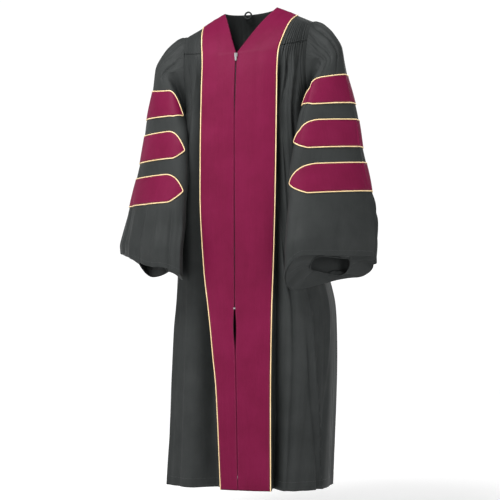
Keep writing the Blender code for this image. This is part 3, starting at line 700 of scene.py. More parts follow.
def evenly(points, spacing, closed=False):
    # the same path with its points a given distance apart
    points = np.asarray(points)
    if closed:
        points = np.concatenate([points, points[:1]])
    run = runAlong(points)
    count = max(2, int(round(run[-1] / spacing)))
    where = np.linspace(0, run[-1], count + 1)
    if closed:
        where = where[:-1]
    return np.stack([np.interp(where, run, points[:, axis]) for axis in range(3)], -1)


def sweepTube(name, points, radius, material, closed=False, around=10):
    # a round cord along a path already in place, UV round it and along it in metres
    points = np.asarray(points, float)
    count = len(points)
    if closed:
        tangent = np.roll(points, -1, 0) - np.roll(points, 1, 0)
    else:
        tangent = np.gradient(points, axis=0)
    tangent = unit(tangent)
    side = np.zeros_like(points)
    side[0] = unit(np.cross(tangent[0], [0.3, 1.0, 0.2]))
    for index in range(1, count):
        side[index] = unit(side[index - 1] - tangent[index] * np.dot(side[index - 1], tangent[index]))
    if closed:
        # spread what is left of the turn over the whole loop
        last = unit(side[-1] - tangent[0] * np.dot(side[-1], tangent[0]))
        left = np.arctan2(np.dot(np.cross(last, side[0]), tangent[0]), np.dot(last, side[0]))
        for index in range(count):
            angle = left * index / count
            side[index] = side[index] * cos(angle) + np.cross(tangent[index], side[index]) * sin(angle)
    other = np.cross(tangent, side)
    turns = np.arange(around) * 2 * pi / around
    ring = (points[:, None] + radius * (side[:, None] * np.cos(turns)[None, :, None]
                                        + other[:, None] * np.sin(turns)[None, :, None]))
    run = runAlong(points)
    if closed:
        run = np.append(run, run[-1] + np.linalg.norm(points[0] - points[-1]))
    faces, uvs = [], []
    for index in range(count if closed else count - 1):
        after = (index + 1) % count
        for step in range(around):
            beside = (step + 1) % around
            faces.append((index * around + step, index * around + beside,
                          after * around + beside, after * around + step))
            near, far = (place * 2 * pi * radius / around for place in (step, step + 1))
            uvs += [(near, run[index]), (far, run[index]), (far, run[index + 1]), (near, run[index + 1])]
    vertices = ring.reshape(-1, 3)
    if not closed:
        vertices = np.concatenate([vertices, points[[0, -1]]])
        low, high = count * around, count * around + 1
        for step in range(around):
            beside = (step + 1) % around
            faces.append((low, beside, step))
            faces.append((high, (count - 1) * around + step, (count - 1) * around + beside))
            uvs += [(0, 0)] * 3 + [(0, run[-1])] * 3
    return rideGown(addSmooth(name + "_cord", vertices, faces, uvs, material))


# materials
class Nodes:
    def __init__(self, name):
        self.material = bpy.data.materials.new(name)
        self.material.use_nodes = True
        self.tree = self.material.node_tree
        self.shader = self.tree.nodes["Principled BSDF"]

    def add(self, kind, **settings):
        node = self.tree.nodes.new(kind)
        for key, value in settings.items():
            setattr(node, key, value)
        return node

    def coordinates(self, kind):
        return self.add("ShaderNodeTexCoord").outputs[kind]

    def link(self, output, target):
        self.tree.links.new(output, target)

    def set(self, **values):
        for key, value in values.items():
            self.shader.inputs[key.replace("_", " ")].default_value = value

    def noise(self, vector, scale, detail=3.0, roughness=0.5):
        node = self.add("ShaderNodeTexNoise")
        node.inputs["Scale"].default_value = scale
        node.inputs["Detail"].default_value = detail
        node.inputs["Roughness"].default_value = roughness
        self.link(vector, node.inputs["Vector"])
        return node.outputs["Fac"]

    def mapped(self, vector, scale, turn=0.0):
        node = self.add("ShaderNodeMapping")
        node.inputs["Scale"].default_value = scale
        node.inputs["Rotation"].default_value = (0, 0, turn)
        self.link(vector, node.inputs["Vector"])
        return node.outputs["Vector"]

    def wave(self, vector, direction, scale, distortion=0.0, detail=0.0):
        node = self.add("ShaderNodeTexWave", wave_type="BANDS", bands_direction=direction)
        node.inputs["Scale"].default_value = scale
        node.inputs["Distortion"].default_value = distortion
        node.inputs["Detail"].default_value = detail
        self.link(vector, node.inputs["Vector"])
        return node.outputs["Fac"]

    def math(self, operation, first, second):
        node = self.add("ShaderNodeMath", operation=operation)
        for index, value in enumerate((first, second)):
            if isinstance(value, (int, float)):
                node.inputs[index].default_value = value
            else:
                self.link(value, node.inputs[index])
        return node.outputs[0]

    def ramp(self, value, stops):
        node = self.add("ShaderNodeValToRGB")
        elements = node.color_ramp.elements
        while len(elements) < len(stops):
            elements.new(0.5)
        for element, (place, colour) in zip(elements, stops):
            element.position = place
            element.color = (*colour, 1)
        self.link(value, node.inputs["Fac"])
        return node.outputs["Color"]

    def blend(self, first, firstPart, second, secondPart):
        return self.math("ADD", self.math("MULTIPLY", first, firstPart),
                         self.math("MULTIPLY", second, secondPart))

    def colour(self, value, stops):
        self.link(self.ramp(value, stops), self.shader.inputs["Base Color"])

    def spread(self, value, low, high, first, last):
        node = self.add("ShaderNodeMapRange")
        for key, number in (("From Min", low), ("From Max", high), ("To Min", first), ("To Max", last)):
            node.inputs[key].default_value = number
        self.link(value, node.inputs["Value"])
        return node.outputs["Result"]

    def bump(self, height, strength, distance, under=None):
        node = self.add("ShaderNodeBump")
        node.inputs["Strength"].default_value = strength
        node.inputs["Distance"].default_value = distance
        self.link(height, node.inputs["Height"])
        if under is not None:
            self.link(under, node.inputs["Normal"])
        return node.outputs["Normal"]


def waveScale(pitch):
    # a wave texture has one band in each twentieth of a full turn
    return 2 * pi / (20 * pitch)


clothLooks = {
    # colour where dark, in the middle and where light
    "gown": ((0.0195, 0.0215, 0.0212), (0.0245, 0.0268, 0.0265), (0.0300, 0.0325, 0.0322)),
    "trim": ((0.112, 0.0019, 0.0255), (0.130, 0.0027, 0.0315), (0.148, 0.0042, 0.0385)),
    "threadPitch": 0.0007,     # metres between threads
    "pressedPatch": 9.0,       # how fine the uneven pressing is
    "pressedBump": (0.22, 0.0040),
    "weaveBump": (0.10, 0.00022),
    "roughnessSwing": 0.06,
}


def clothMaterial(name, colours, roughness, sheen, sheenTint):
    looks = Nodes(name)
    place, flat = looks.coordinates("Object"), looks.coordinates("UV")
    cloudy = looks.noise(place, clothLooks["pressedPatch"], 5.0, 0.6)
    streaky = looks.noise(looks.mapped(flat, (240, 9, 1)), 1.0, 3.0, 0.6)
    tone = looks.blend(cloudy, 0.8, streaky, 0.2)
    looks.colour(tone, tuple(zip((0.30, 0.50, 0.70), colours)))
    bands = waveScale(clothLooks["threadPitch"])
    warp = looks.wave(flat, "X", bands, 0.6, 1.0)
    weft = looks.wave(flat, "Y", bands * 0.9, 0.6, 1.0)
    weave = looks.math("MAXIMUM", warp, weft)
    slubs = looks.noise(looks.mapped(flat, (900, 60, 1)), 1.0, 2.0)
    grain = looks.blend(weave, 0.7, slubs, 0.5)
    soft = looks.noise(place, 26.0, 3.0, 0.5)
    pressed = looks.bump(soft, *clothLooks["pressedBump"])
    looks.link(looks.bump(grain, *clothLooks["weaveBump"], pressed), looks.shader.inputs["Normal"])
    swing = clothLooks["roughnessSwing"]
    looks.link(looks.spread(tone, 0.3, 0.7, roughness + swing, roughness - swing),
               looks.shader.inputs["Roughness"])
    looks.set(Sheen_Weight=sheen, Sheen_Roughness=0.38, Sheen_Tint=(*sheenTint, 1), Specular_IOR_Level=0.12)
    return looks.material


gownCloth = clothMaterial("gownCloth", clothLooks["gown"], 0.62, 0.015, (0.85, 0.90, 0.92))
trimCloth = clothMaterial("trimCloth", clothLooks["trim"], 0.60, 0.01, (0.95, 0.50, 0.70))

cordLooks = {
    # the cord's colour in shade, in between and in light: painted shade and painted highlight
    "shadow": (0.62, 0.400, 0.170),
    "middle": (0.82, 0.600, 0.310),
    "lit": (0.92, 0.740, 0.470),
    "twistPitch": 0.0022,      # metres between the turns of the covering thread
}


def pipingMaterial():
    looks = Nodes("pipingCord")
    slanted = looks.mapped(looks.coordinates("UV"), (1, 1, 1), radians(38))
    twist = looks.wave(slanted, "Y", waveScale(cordLooks["twistPitch"]), 0.5, 1.0)
    # painted shade in the grooves of the twist and painted highlight on its turns, mixed with the cord's own
    # random tone
    tone = looks.blend(twist, 0.45, looks.noise(looks.coordinates("Object"), 30.0, 3.0), 0.55)
    looks.colour(tone, ((0.15, cordLooks["shadow"]), (0.5, cordLooks["middle"]), (0.85, cordLooks["lit"])))
    looks.link(looks.bump(twist, 0.5, 0.0003), looks.shader.inputs["Normal"])
    looks.set(Roughness=0.42, Sheen_Weight=0.20, Sheen_Roughness=0.35, Sheen_Tint=(1.0, 0.9, 0.7, 1),
              Specular_IOR_Level=0.45)
    return looks.material


def tapeMaterial():
    looks = Nodes("zipTape")
    flat = looks.coordinates("UV")
    ribs = looks.wave(flat, "Y", waveScale(0.0012), 0.2)
    grain = looks.noise(looks.mapped(flat, (900, 300, 1)), 1.0, 2.0)
    looks.colour(grain, ((0.3, (0.010, 0.006, 0.008)), (0.7, (0.026, 0.012, 0.017))))
    looks.link(looks.bump(ribs, 0.5, 0.0003), looks.shader.inputs["Normal"])
    looks.set(Roughness=0.8, Sheen_Weight=0.15)
    return looks.material


def metalMaterial():
    looks = Nodes("zipMetal")
    place = looks.coordinates("Object")
    brushed = looks.noise(looks.mapped(place, (9000, 9000, 400)), 1.0, 2.0)
    worn = looks.noise(place, 700.0, 3.0)
    looks.colour(worn, ((0.3, (0.40, 0.40, 0.41)), (0.7, (0.60, 0.60, 0.60))))
    looks.link(looks.spread(brushed, 0.3, 0.7, 0.22, 0.40), looks.shader.inputs["Roughness"])
    looks.link(looks.bump(brushed, 0.25, 0.00008), looks.shader.inputs["Normal"])
    looks.set(Metallic=1.0)
    return looks.material


def speckledMaterial(name, scale, dark, light, **settings):
    looks = Nodes(name)
    looks.set(**settings)
    looks.colour(looks.noise(looks.coordinates("Object"), scale, 2.0), ((0.3, dark), (0.7, light)))
    return looks.material


pipingCord = pipingMaterial()
zipTape = tapeMaterial()
zipMetal = metalMaterial()
stitchThread = speckledMaterial("stitchThread", 220.0, (0.030, 0.032, 0.034), (0.055, 0.058, 0.060),
                                Roughness=0.55, Sheen_Weight=0.2)
trimThread = speckledMaterial("trimThread", 220.0, (0.150, 0.011, 0.042), (0.240, 0.022, 0.075),
                              Roughness=0.5, Sheen_Weight=0.2)
coilPlastic = speckledMaterial("coilPlastic", 400.0, (0.010, 0.008, 0.009), (0.022, 0.014, 0.018),
                               Roughness=0.38)
print("materials made")


# body
seamLooks = {
    "groove": 0.0011,          # how far the cloth dips at a seam
    "grooveRows": 0.9,
    "easeRows": 9,             # rows over which the yoke seam's bend is rounded off
    "easeRounds": 14,
    "hemTurn": 0.030,          # height of the turned-up hem
    "hemWall": 0.0008,
    "hemLift": (1.35, 0.75),   # how far in it lies at the fold and at its edge, in cloth walls
}
sides = ((1, "left"), (-1, "right"))


def groove(grid, row, out):
    away = np.abs(np.arange(len(grid)) - row)
    dip = seamLooks["groove"] * np.exp(-(away / seamLooks["grooveRows"]) ** 2)
    return grid - gridNormals(grid, False, out) * dip[:, None, None]


def joinYoke(yoke, below, out):
    whole = np.concatenate([yoke[:-1], below])
    row = len(yoke) - 1
    whole = relaxRow(whole, row, seamLooks["easeRows"], seamLooks["easeRounds"])
    return groove(whole, row, out), row


def hemStrip(grid, out):
    # the turned-up hem inside, from the fold to its upper edge
    run = np.linalg.norm(np.diff(grid[:, grid.shape[1] // 2], axis=0), axis=-1)
    rows = 1 + int(np.searchsorted(np.cumsum(run[::-1]), seamLooks["hemTurn"]))
    strip = grid[-rows - 1:]
    lift = np.linspace(*seamLooks["hemLift"], len(strip))[:, None, None] * form["cloth"]
    return strip - gridNormals(grid, False, out)[-rows - 1:] * lift


rawBack = backGrid()
wholeBack, seamRowBack = joinYoke(yokeBackGrid(rawBack[0]), rawBack, 1)
back = addCloth("back", wholeBack[seamRowBack:], gownCloth, out=1)
yokeBack = addCloth("yoke_back", wholeBack[:seamRowBack + 1], gownCloth, out=1)
hemBack = addCloth("hem_turn_back", hemStrip(wholeBack, 1), gownCloth, out=1,
                   wall=seamLooks["hemWall"])
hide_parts("back")
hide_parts("yoke_back")
print("back and back yoke made")

panelLooks = {
    "pipingRadius": 0.00165,
    "pipingGap": 0.0003,
    "hemTuck": 0.0016,
    "waves": 0.0010,           # soft ripples of the panel between its seams
    "topTuck": 0.0020,
    "clearance": 0.0002,       # gap between the piping and the cloth under it
    "pathStep": 0.006,
}
trim = {}
for side, word in sides:
    front, share = frontGrid(side)
    yoke = yokeFrontGrid(side, front[0], share)
    whole, seamRow = joinYoke(yoke, front, -side)
    frontPiece = addCloth("front_" + word, whole[seamRow:], gownCloth, out=-side)
    yokePiece = addCloth("yoke_front_" + word, whole[:seamRow + 1], gownCloth, out=-side)
    hemPiece = addCloth("hem_turn_" + word, hemStrip(whole, -side), gownCloth, out=-side,
                        wall=seamLooks["hemWall"])
    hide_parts("front_" + word)
    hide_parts("yoke_front_" + word)

    smoothWhole = relaxRow(whole, seamRow, 6, 8)
    out = gridNormals(smoothWhole, False, -side)
    count = frontPlan["panelColumns"] + 1
    lift = form["cloth"] + form["lay"]
    panelGrid = (smoothWhole + out * lift)[:, :count]
    inPanel = np.linspace(0, 1, count)[None]
    heights = panelGrid[..., 2]
    ripple = softNoise(inPanel + 0 * heights, heights, 31 + side, 9, 0.6, 4.0) * np.sin(pi * inPanel)
    waves = panelLooks["waves"] * (1 + ripple) * np.sin(pi * inPanel)
    panelGrid = panelGrid + out[:, :count] * waves[..., None]
    panelGrid = inset(panelGrid, panelLooks["topTuck"], panelLooks["hemTuck"])
    panel = addCloth("panel_" + word, panelGrid, trimCloth, out=-side)
    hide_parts("panel_" + word)

    radius = panelLooks["pipingRadius"]
    raised = smoothWhole + out * (form["cloth"] / 2 + radius + panelLooks["clearance"])
    edge = raised[:, count - 1]
    beyond = unit(raised[:, count] - edge)
    path = edge + beyond * (radius + panelLooks["pipingGap"])
    piping = sweepTube("panel_piping_" + word, tilted(evenly(path, panelLooks["pathStep"])), radius,
                       pipingCord)
    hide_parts("panel_piping_" + word)
    trim[word] = {"front": frontPiece, "yoke": yokePiece, "panel": panel, "piping": piping, "hem": hemPiece,
                  "panelGrid": panelGrid, "whole": whole, "seamRow": seamRow}
print("fronts, yokes and panels made")

# sleeves
barPlaces = (4, 6, 8)
barLooks = {
    "frontPoint": 135.0,       # turned from the sleeve's top line
    "backPoint": -120.0,
    "endReach": {1: 62.0, -1: 46.0},   # the taper's length in degrees, left and right
    "pointHeight": 0.60,
    "cornerAt": 0.72,          # share of the taper at which the lower edge has its corner
    "rows": 11,
    "step": 1.6,
    "puff": 0.0007,
    "pipingRadius": 0.00165,
    "pathStep": 0.0026,
}


def readGrid(grid, level, turn):
    # bilinear reading of a closed grid by row and by turn in degrees
    rows, columns = grid.shape[:2]
    level = np.clip(level, 0, rows - 1.001)
    place = (turn / 360 * columns) % columns
    row, column = level.astype(int), np.floor(place).astype(int) % columns
    rowShare, columnShare = (level - row)[..., None], (place - np.floor(place))[..., None]
    after = (column + 1) % columns
    upper = grid[row, column] * (1 - columnShare) + grid[row, after] * columnShare
    lower = grid[row + 1, column] * (1 - columnShare) + grid[row + 1, after] * columnShare
    return upper * (1 - rowShare) + lower * rowShare


def barEdges(turn, side):
    # upper and lower edge as shares of the bar's height
    ahead = np.minimum(barLooks["frontPoint"] - turn, turn - barLooks["backPoint"]) / barLooks["endReach"][side]
    ahead = np.clip(ahead, 0, 1)
    upper = barLooks["pointHeight"] * (1 - ahead) ** 1.55
    corner = np.clip(ahead / barLooks["cornerAt"], 0, 1)
    lower = barLooks["pointHeight"] + (1 - barLooks["pointHeight"]) * corner
    return upper, lower


sleeves = {}
for side, word in sides:
    grid, level = sleeveGrid(side)
    out = gridNormals(grid, True, side)
    sleeve = addCloth("sleeve_" + word, grid, gownCloth, closed=True, out=side)
    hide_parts("sleeve_" + word)
    cuffShape = cuffGrid(side, grid)
    cuff = addCloth("cuff_facing_" + word, cuffShape, gownCloth, closed=True, out=-side)
    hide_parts("cuff_facing_" + word)
    wristLine = tilted(cuffShape[-1] - [0, 0, sleevePlan["edgeBelow"]])
    cuffEdge = sweepTube("cuff_edge_" + word, wristLine, sleevePlan["edgeRadius"], gownCloth,
                         closed=True)
    sleeves[word] = {"sleeve": sleeve, "cuff": cuff, "edge": cuffEdge, "grid": grid, "out": out, "bars": []}
    perRing = sleevePlan["rowsPerRing"]
    for number, ring in enumerate(barPlaces, 1):
        span = barLooks["frontPoint"] - barLooks["backPoint"]
        turns = np.linspace(barLooks["backPoint"], barLooks["frontPoint"], int(span / barLooks["step"]) + 1)
        upper, lower = barEdges(turns, side)
        down = np.linspace(0, 1, barLooks["rows"])[:, None]
        levels = (ring + upper[None] + (lower - upper)[None] * down) * perRing
        wide = turns[None] + 0 * levels
        base = readGrid(grid, levels, wide)
        away = unit(readGrid(out, levels, wide))
        uneven = softNoise(wide / 360, down + 0 * wide, 50 + number + side, 7, 3, 12)
        puff = barLooks["puff"] * np.sin(pi * down) * (1 + 0.6 * uneven)
        barGrid = base + away * (form["cloth"] + form["lay"] + puff)[..., None]
        name = word + "_" + str(number)
        bar = addCloth("bar_" + name, barGrid, trimCloth, out=side)
        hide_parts("bar_" + name)

        # the piping runs round the bar just outside its edge
        radius = barLooks["pipingRadius"]
        loopTurn = np.concatenate([turns, turns[::-1][1:-1]])
        loopLevel = np.concatenate([(ring + upper) * perRing, ((ring + lower) * perRing)[::-1][1:-1]])
        surface = readGrid(grid, loopLevel, loopTurn)
        both = evenly(surface, barLooks["pathStep"], closed=True)
        nearest = np.argmin(np.linalg.norm(both[:, None] - surface[None], axis=-1), 1)
        up = unit(readGrid(out, loopLevel, loopTurn))[nearest]
        beside = np.cross(unit(np.roll(both, -2, 0) - np.roll(both, 2, 0)), up)
        middle = readGrid(grid, np.full(len(both), (ring + 0.5) * perRing), loopTurn[nearest])
        wrong = np.sum(beside * (both - middle), -1).mean() < 0
        beside = -beside if wrong else beside
        path = both + beside * (radius + 0.0002) + up * (form["cloth"] / 2 + radius + 0.0001)
        path = path * 0.6 + (np.roll(path, 1, 0) + np.roll(path, -1, 0)) * 0.2
        piping = sweepTube("bar_piping_" + name, tilted(path), radius, pipingCord, closed=True)
        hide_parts("bar_piping_" + name)
        sleeves[word]["bars"].append((bar, piping, barGrid))
    print("sleeve made:", word)

# zip behind the opening
zipLooks = {
    "tapeHalf": 0.010,
    "tapeWall": 0.0008,
    "clearance": 0.0004,
    "coilPitch": 0.0013,
    "coilLength": 0.0034,      # one coil loop across
    "coilThick": 0.0011,
    "coilOffset": 0.0008,      # each side's coil from the centre line
}
leftWhole, rightWhole, seamRow = trim["left"]["whole"], trim["right"]["whole"], trim["left"]["seamRow"]
tapeFirst = seamRow + 3
tapeLast = int(np.argmin(np.abs(leftWhole[:, 0, 2] - form["zipEnd"])))
reachRow = zipLooks["tapeHalf"] / np.linalg.norm(leftWhole[:, 1] - leftWhole[:, 0], axis=-1)


def acrossFront(whole, row, reach):
    low = int(reach)
    return mix(whole[row, low], whole[row, low + 1], reach - low)


tapeRows = []
for row in range(tapeFirst, tapeLast + 1):
    middle = (leftWhole[row, 0] + rightWhole[row, 0]) / 2
    right = acrossFront(rightWhole, row, reachRow[row])
    left = acrossFront(leftWhole, row, reachRow[row])
    tapeRows.append([right, mix(right, middle, 0.5), middle, mix(left, middle, 0.5), left])
tapeGrid = np.array(tapeRows)
tapeLift = form["cloth"] / 2 + zipLooks["tapeWall"] / 2 + zipLooks["clearance"]
tapeGrid = tapeGrid + gridNormals(tapeGrid) * tapeLift
tape = addCloth("zip_tape", tapeGrid, zipTape, out=-1, wall=zipLooks["tapeWall"])
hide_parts("zip_tape")
coilLift = zipLooks["tapeWall"] / 2 + zipLooks["coilThick"] / 2
coilPath = tilted(tapeGrid[:, 2] - gridNormals(tapeGrid)[:, 2] * coilLift)

# cord loop inside the back neck, and the bound neck edge
loopLooks = {"ring": 0.010, "cord": 0.0026, "behindNeck": 0.007, "drop": 0.001, "side": -0.022}
loopTurns = np.arange(48) * 2 * pi / 48
loopPath = np.stack([loopLooks["side"] + loopLooks["ring"] * np.cos(loopTurns),
                     form["backNeckY"] - loopLooks["behindNeck"] + 0 * loopTurns,
                     form["backNeckHeight"] - loopLooks["drop"] + loopLooks["ring"] * np.sin(loopTurns)], -1)
hangingLoop = sweepTube("hanging_loop", tilted(loopPath), loopLooks["cord"], gownCloth,
                        closed=True)
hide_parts("hanging_loop")
quarter = backPlan["columns"] // 4
neckLine = wholeBack[0, quarter:3 * quarter + 1]
neckBinding = sweepTube("neck_binding", tilted(evenly(neckLine, 0.004)), 0.0011, gownCloth)
print("zip tape, loop and neck edge made")


# stitches and zip coil by geometry nodes
def repeatTree(name, follow):
    # small rounded pieces along every edge chain of a mesh
    tree = bpy.data.node_groups.new(name, "GeometryNodeTree")
    for label, way, kind in (("Geometry", "INPUT", "Geometry"), ("Spacing", "INPUT", "Float"),
                             ("Length", "INPUT", "Float"), ("Thickness", "INPUT", "Float"),
                             ("Finish", "INPUT", "Material"), ("Geometry", "OUTPUT", "Geometry")):
        tree.interface.new_socket(label, in_out=way, socket_type="NodeSocket" + kind)
    start = tree.nodes.new("NodeGroupInput")
    end = tree.nodes.new("NodeGroupOutput")
    line = tree.nodes.new("GeometryNodeMeshToCurve")
    points = tree.nodes.new("GeometryNodeCurveToPoints")
    points.mode = "LENGTH"
    bead = tree.nodes.new("GeometryNodeMeshUVSphere")
    bead.inputs["Segments"].default_value = 6
    bead.inputs["Rings"].default_value = 3
    bead.inputs["Radius"].default_value = 0.5
    size = tree.nodes.new("ShaderNodeCombineXYZ")
    stretch = tree.nodes.new("GeometryNodeTransform")
    place = tree.nodes.new("GeometryNodeInstanceOnPoints")
    real = tree.nodes.new("GeometryNodeRealizeInstances")
    finish = tree.nodes.new("GeometryNodeSetMaterial")
    smoothShade = tree.nodes.new("GeometryNodeSetShadeSmooth")
    across, along = ("Thickness", "Length") if follow else ("Length", "Thickness")
    links = [
        (start, "Geometry", line, "Mesh"),
        (line, "Curve", points, "Curve"),
        (start, "Spacing", points, "Length"),
        (start, across, size, "X"),
        (start, "Thickness", size, "Y"),
        (start, along, size, "Z"),
        (bead, "Mesh", stretch, "Geometry"),
        (size, "Vector", stretch, "Scale"),
        (points, "Points", place, "Points"),
        (stretch, "Geometry", place, "Instance"),
        (place, "Instances", real, "Geometry"),
        (real, "Geometry", smoothShade, "Geometry"),
        (smoothShade, "Geometry", finish, "Geometry"),
        (start, "Finish", finish, "Material"),
        (finish, "Geometry", end, "Geometry"),
    ]
    if follow:
        links.append((points, "Rotation", place, "Rotation"))
    for giver, output, taker, target in links:
        tree.links.new(giver.outputs[output], taker.inputs[target])
    return tree


def addRepeats(name, tree, paths, sizes, material):
    # sizes: spacing, length and thickness of one repeat
    points, edges = [], []
    for path in paths:
        first = len(points)
        points += [tuple(point) for point in path]
        edges += [(index, index + 1) for index in range(first, len(points) - 1)]
    guide = bpy.data.meshes.new(name + "_guide")
    guide.from_pydata(points, edges, [])
    piece = addObject(name + "_guide", guide)
    grow = piece.modifiers.new("repeat", "NODES")
    grow.node_group = tree
    inputs = {item.name: item.identifier for item in tree.interface.items_tree if item.in_out == "INPUT"}
    for label, size in zip(("Spacing", "Length", "Thickness"), sizes):
        grow[inputs[label]] = size
    grow[inputs["Finish"]] = material
    shaped = piece.evaluated_get(bpy.context.evaluated_depsgraph_get())
    mesh = bpy.data.meshes.new_from_object(shaped)
    piece.modifiers.remove(grow)
    bpy.data.objects.remove(piece, do_unlink=True)
    mesh.name = name
    rideGown(addObject(name, mesh))
    print(name, "faces:", len(mesh.polygons))


stitchLooks = {
    "spacing": 0.0034,
    "length": 0.0025,
    "thickness": 0.00055,
    "fromEdge": 0.0030,
    "aboveHem": 0.026,
    "aboveRim": 0.014,
    "offCloth": 0.0001,
    "skipPanelRows": 2,        # grid steps left bare at each end of a row of stitches
    "skipBarSteps": 6,
}
stitchTree = repeatTree("stitchRow", True)
coilTree = repeatTree("zipCoil", False)


def onCloth(line, normals):
    return tilted(line + normals * (form["cloth"] / 2 + stitchLooks["offCloth"]))


def insideEdge(grid, column, out):
    # a line a little inside one long edge of a sheet
    normals = gridNormals(grid, False, out)
    step = 1 if column == 0 else -1
    edge = grid[:, column]
    toward = unit(grid[:, column + step] - edge)
    return onCloth(edge + toward * stitchLooks["fromEdge"], normals[:, column])


def aboveEdge(grid, out, height, closed=False):
    # a line a set height above the last row
    normals = gridNormals(grid, closed, out)
    run = np.cumsum(np.linalg.norm(np.diff(grid[::-1], axis=0), axis=-1), 0)
    line, facing = [], []
    for column in range(grid.shape[1]):
        row = int(np.searchsorted(run[:, column], height))
        before = run[row - 1, column] if row else 0.0
        share = (height - before) / (run[row, column] - before)
        line.append(mix(grid[::-1][row, column], grid[::-1][row + 1, column], share))
        facing.append(normals[::-1][row, column])
    path = onCloth(np.array(line), np.array(facing))
    return np.concatenate([path, path[:1]]) if closed else path


trimLines, gownLines = [], []
for side, word in sides:
    made = trim[word]
    skip = stitchLooks["skipPanelRows"]
    for column in (0, -1):
        trimLines.append(insideEdge(made["panelGrid"], column, -side)[skip:-skip])
    whole, seamRow = made["whole"], made["seamRow"]
    facing = gridNormals(whole, False, -side)
    outside = frontPlan["panelColumns"] + 2
    gownLines.append(onCloth(whole[seamRow - 1, outside:], facing[seamRow - 1, outside:]))
    gownLines.append(aboveEdge(whole[:, outside:], -side, stitchLooks["aboveHem"]))
    sleeve = sleeves[word]
    gownLines.append(aboveEdge(sleeve["grid"], side, stitchLooks["aboveRim"], closed=True))
    for bar, piping, barGrid in sleeve["bars"]:
        normals = gridNormals(barGrid, False, side)
        for row, nextRow in ((0, 1), (-1, -2)):
            toward = barGrid[nextRow] - barGrid[row]
            size = np.maximum(np.linalg.norm(toward, axis=-1, keepdims=True), 1e-6)
            reach = np.minimum(stitchLooks["fromEdge"], size * 3)
            skip = stitchLooks["skipBarSteps"]
            trimLines.append(onCloth(barGrid[row] + toward / size * reach, normals[row])[skip:-skip])
backFacing = gridNormals(wholeBack, False, 1)
gownLines.append(onCloth(wholeBack[seamRowBack - 1], backFacing[seamRowBack - 1]))
gownLines.append(aboveEdge(wholeBack, 1, stitchLooks["aboveHem"]))
stitchSizes = (stitchLooks["spacing"], stitchLooks["length"], stitchLooks["thickness"])
addRepeats("trim_stitches", stitchTree, trimLines, stitchSizes, trimThread)
addRepeats("gown_stitches", stitchTree, gownLines, stitchSizes, stitchThread)
half = zipLooks["coilPitch"] / 2
coilLines = [coilPath + [zipLooks["coilOffset"], 0, 0], (coilPath - [zipLooks["coilOffset"], 0, half])]
coilSizes = (zipLooks["coilPitch"], zipLooks["coilLength"], zipLooks["coilThick"])
addRepeats("zip_coil", coilTree, coilLines, coilSizes, coilPlastic)

# the hard pieces of the zip keep their own solids
for node in ("zip_slider", "zip_pull_tab", "zip_stop"):
    piece = bpy.data.objects[node]
    for holder in piece.material_slots:
        holder.material = zipMetal
print("stitches and zip made")


for word in ("left", "right"):
    made = trim[word]

# floor, light and camera
studio = {
    "floorHeight": -1.56,
    "floorSpan": 90.0,
    "nearGlow": 0.30,
    "farGlow": 0.90,
    "horizonLight": 1.05,
    "overheadLight": 0.22,
    "viewTurn": 17.0,
    "viewDistance": 5.0,
    "viewHeight": -0.72,
    "lens": 120.0,
    "sensor": 36.0,
    "farClip": 300.0,
    "glowFrom": 2.2,           # distances from the gown between which the floor grows brighter
    "glowTo": 7.0,
    "bandFrom": 0.155,         # height in the sky at which its light fades
    "bandTo": 0.20,
}
lamps = {
    # place, aim, size, watts
    "topLamp": ((-0.6, -1.9, 1.9), (0.0, 0.0, -0.25), 1.2, 118),
    "leftLamp": ((-3.0, -2.6, 0.4), (0.0, 0.0, -0.5), 1.5, 34),
    "rightLamp": ((3.2, -2.2, 0.3), (0.0, 0.0, -0.6), 1.6, 38),
    "backLamp": ((0.8, 3.2, 1.4), (0.0, 0.0, -0.6), 2.2, 60),
}
floorMesh = bpy.data.meshes.new("studioFloor")
reach = studio["floorSpan"]
corners = ((-reach, -reach), (reach, -reach), (reach, reach), (-reach, reach))
floorMesh.from_pydata([(*corner, studio["floorHeight"]) for corner in corners], [], [(0, 1, 2, 3)])
floorPiece = addObject("studioFloor", floorMesh)
floorLooks = Nodes("studioFloor")
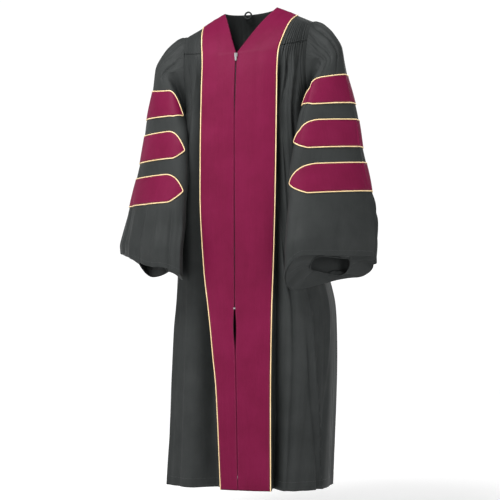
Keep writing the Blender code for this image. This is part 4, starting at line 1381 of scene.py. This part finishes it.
floorLooks.set(Base_Color=(0.90, 0.90, 0.90, 1), Roughness=0.9, Emission_Color=(1, 1, 1, 1))
fromMiddle = floorLooks.add("ShaderNodeVectorMath", operation="LENGTH")
floorLooks.link(floorLooks.coordinates("Object"), fromMiddle.inputs[0])
floorLooks.link(floorLooks.spread(fromMiddle.outputs["Value"], studio["glowFrom"], studio["glowTo"],
                                  studio["nearGlow"], studio["farGlow"]),
                floorLooks.shader.inputs["Emission Strength"])
floorMesh.materials.append(floorLooks.material)

world = bpy.data.worlds.new("studioWorld")
bpy.context.scene.world = world
world.use_nodes = True
tree = world.node_tree
sky = tree.nodes["Background"]
direction = tree.nodes.new("ShaderNodeTexCoord")
parts = tree.nodes.new("ShaderNodeSeparateXYZ")
band = tree.nodes.new("ShaderNodeMapRange")
band.interpolation_type = "SMOOTHSTEP"
for key, number in (("From Min", studio["bandFrom"]), ("From Max", studio["bandTo"]),
                    ("To Min", studio["horizonLight"]), ("To Max", studio["overheadLight"])):
    band.inputs[key].default_value = number
tree.links.new(direction.outputs["Generated"], parts.inputs["Vector"])
tree.links.new(parts.outputs["Z"], band.inputs["Value"])
tree.links.new(band.outputs["Result"], sky.inputs["Strength"])
sky.inputs["Color"].default_value = (1, 1, 1, 1)

for name, (place, aim, size, watts) in lamps.items():
    data = bpy.data.lights.new(name, "AREA")
    data.size = size
    data.energy = watts
    lamp = addObject(name, data)
    lamp.location = place
    lamp.rotation_mode = "QUATERNION"
    lamp.rotation_quaternion = (Vector(aim) - Vector(place)).to_track_quat("-Z", "Y")

cameraData = bpy.data.cameras.new("camera")
cameraData.lens = studio["lens"]
cameraData.sensor_width = studio["sensor"]
cameraData.clip_end = studio["farClip"]
camera = addObject("camera", cameraData)
turn = radians(studio["viewTurn"])
camera.location = (studio["viewDistance"] * sin(turn), -studio["viewDistance"] * cos(turn),
                   studio["viewHeight"])
camera.rotation_euler = (pi / 2, 0, turn)
bpy.context.scene.camera = camera
bpy.context.scene.view_settings.view_transform = "Standard"
print("floor, lights and camera made")
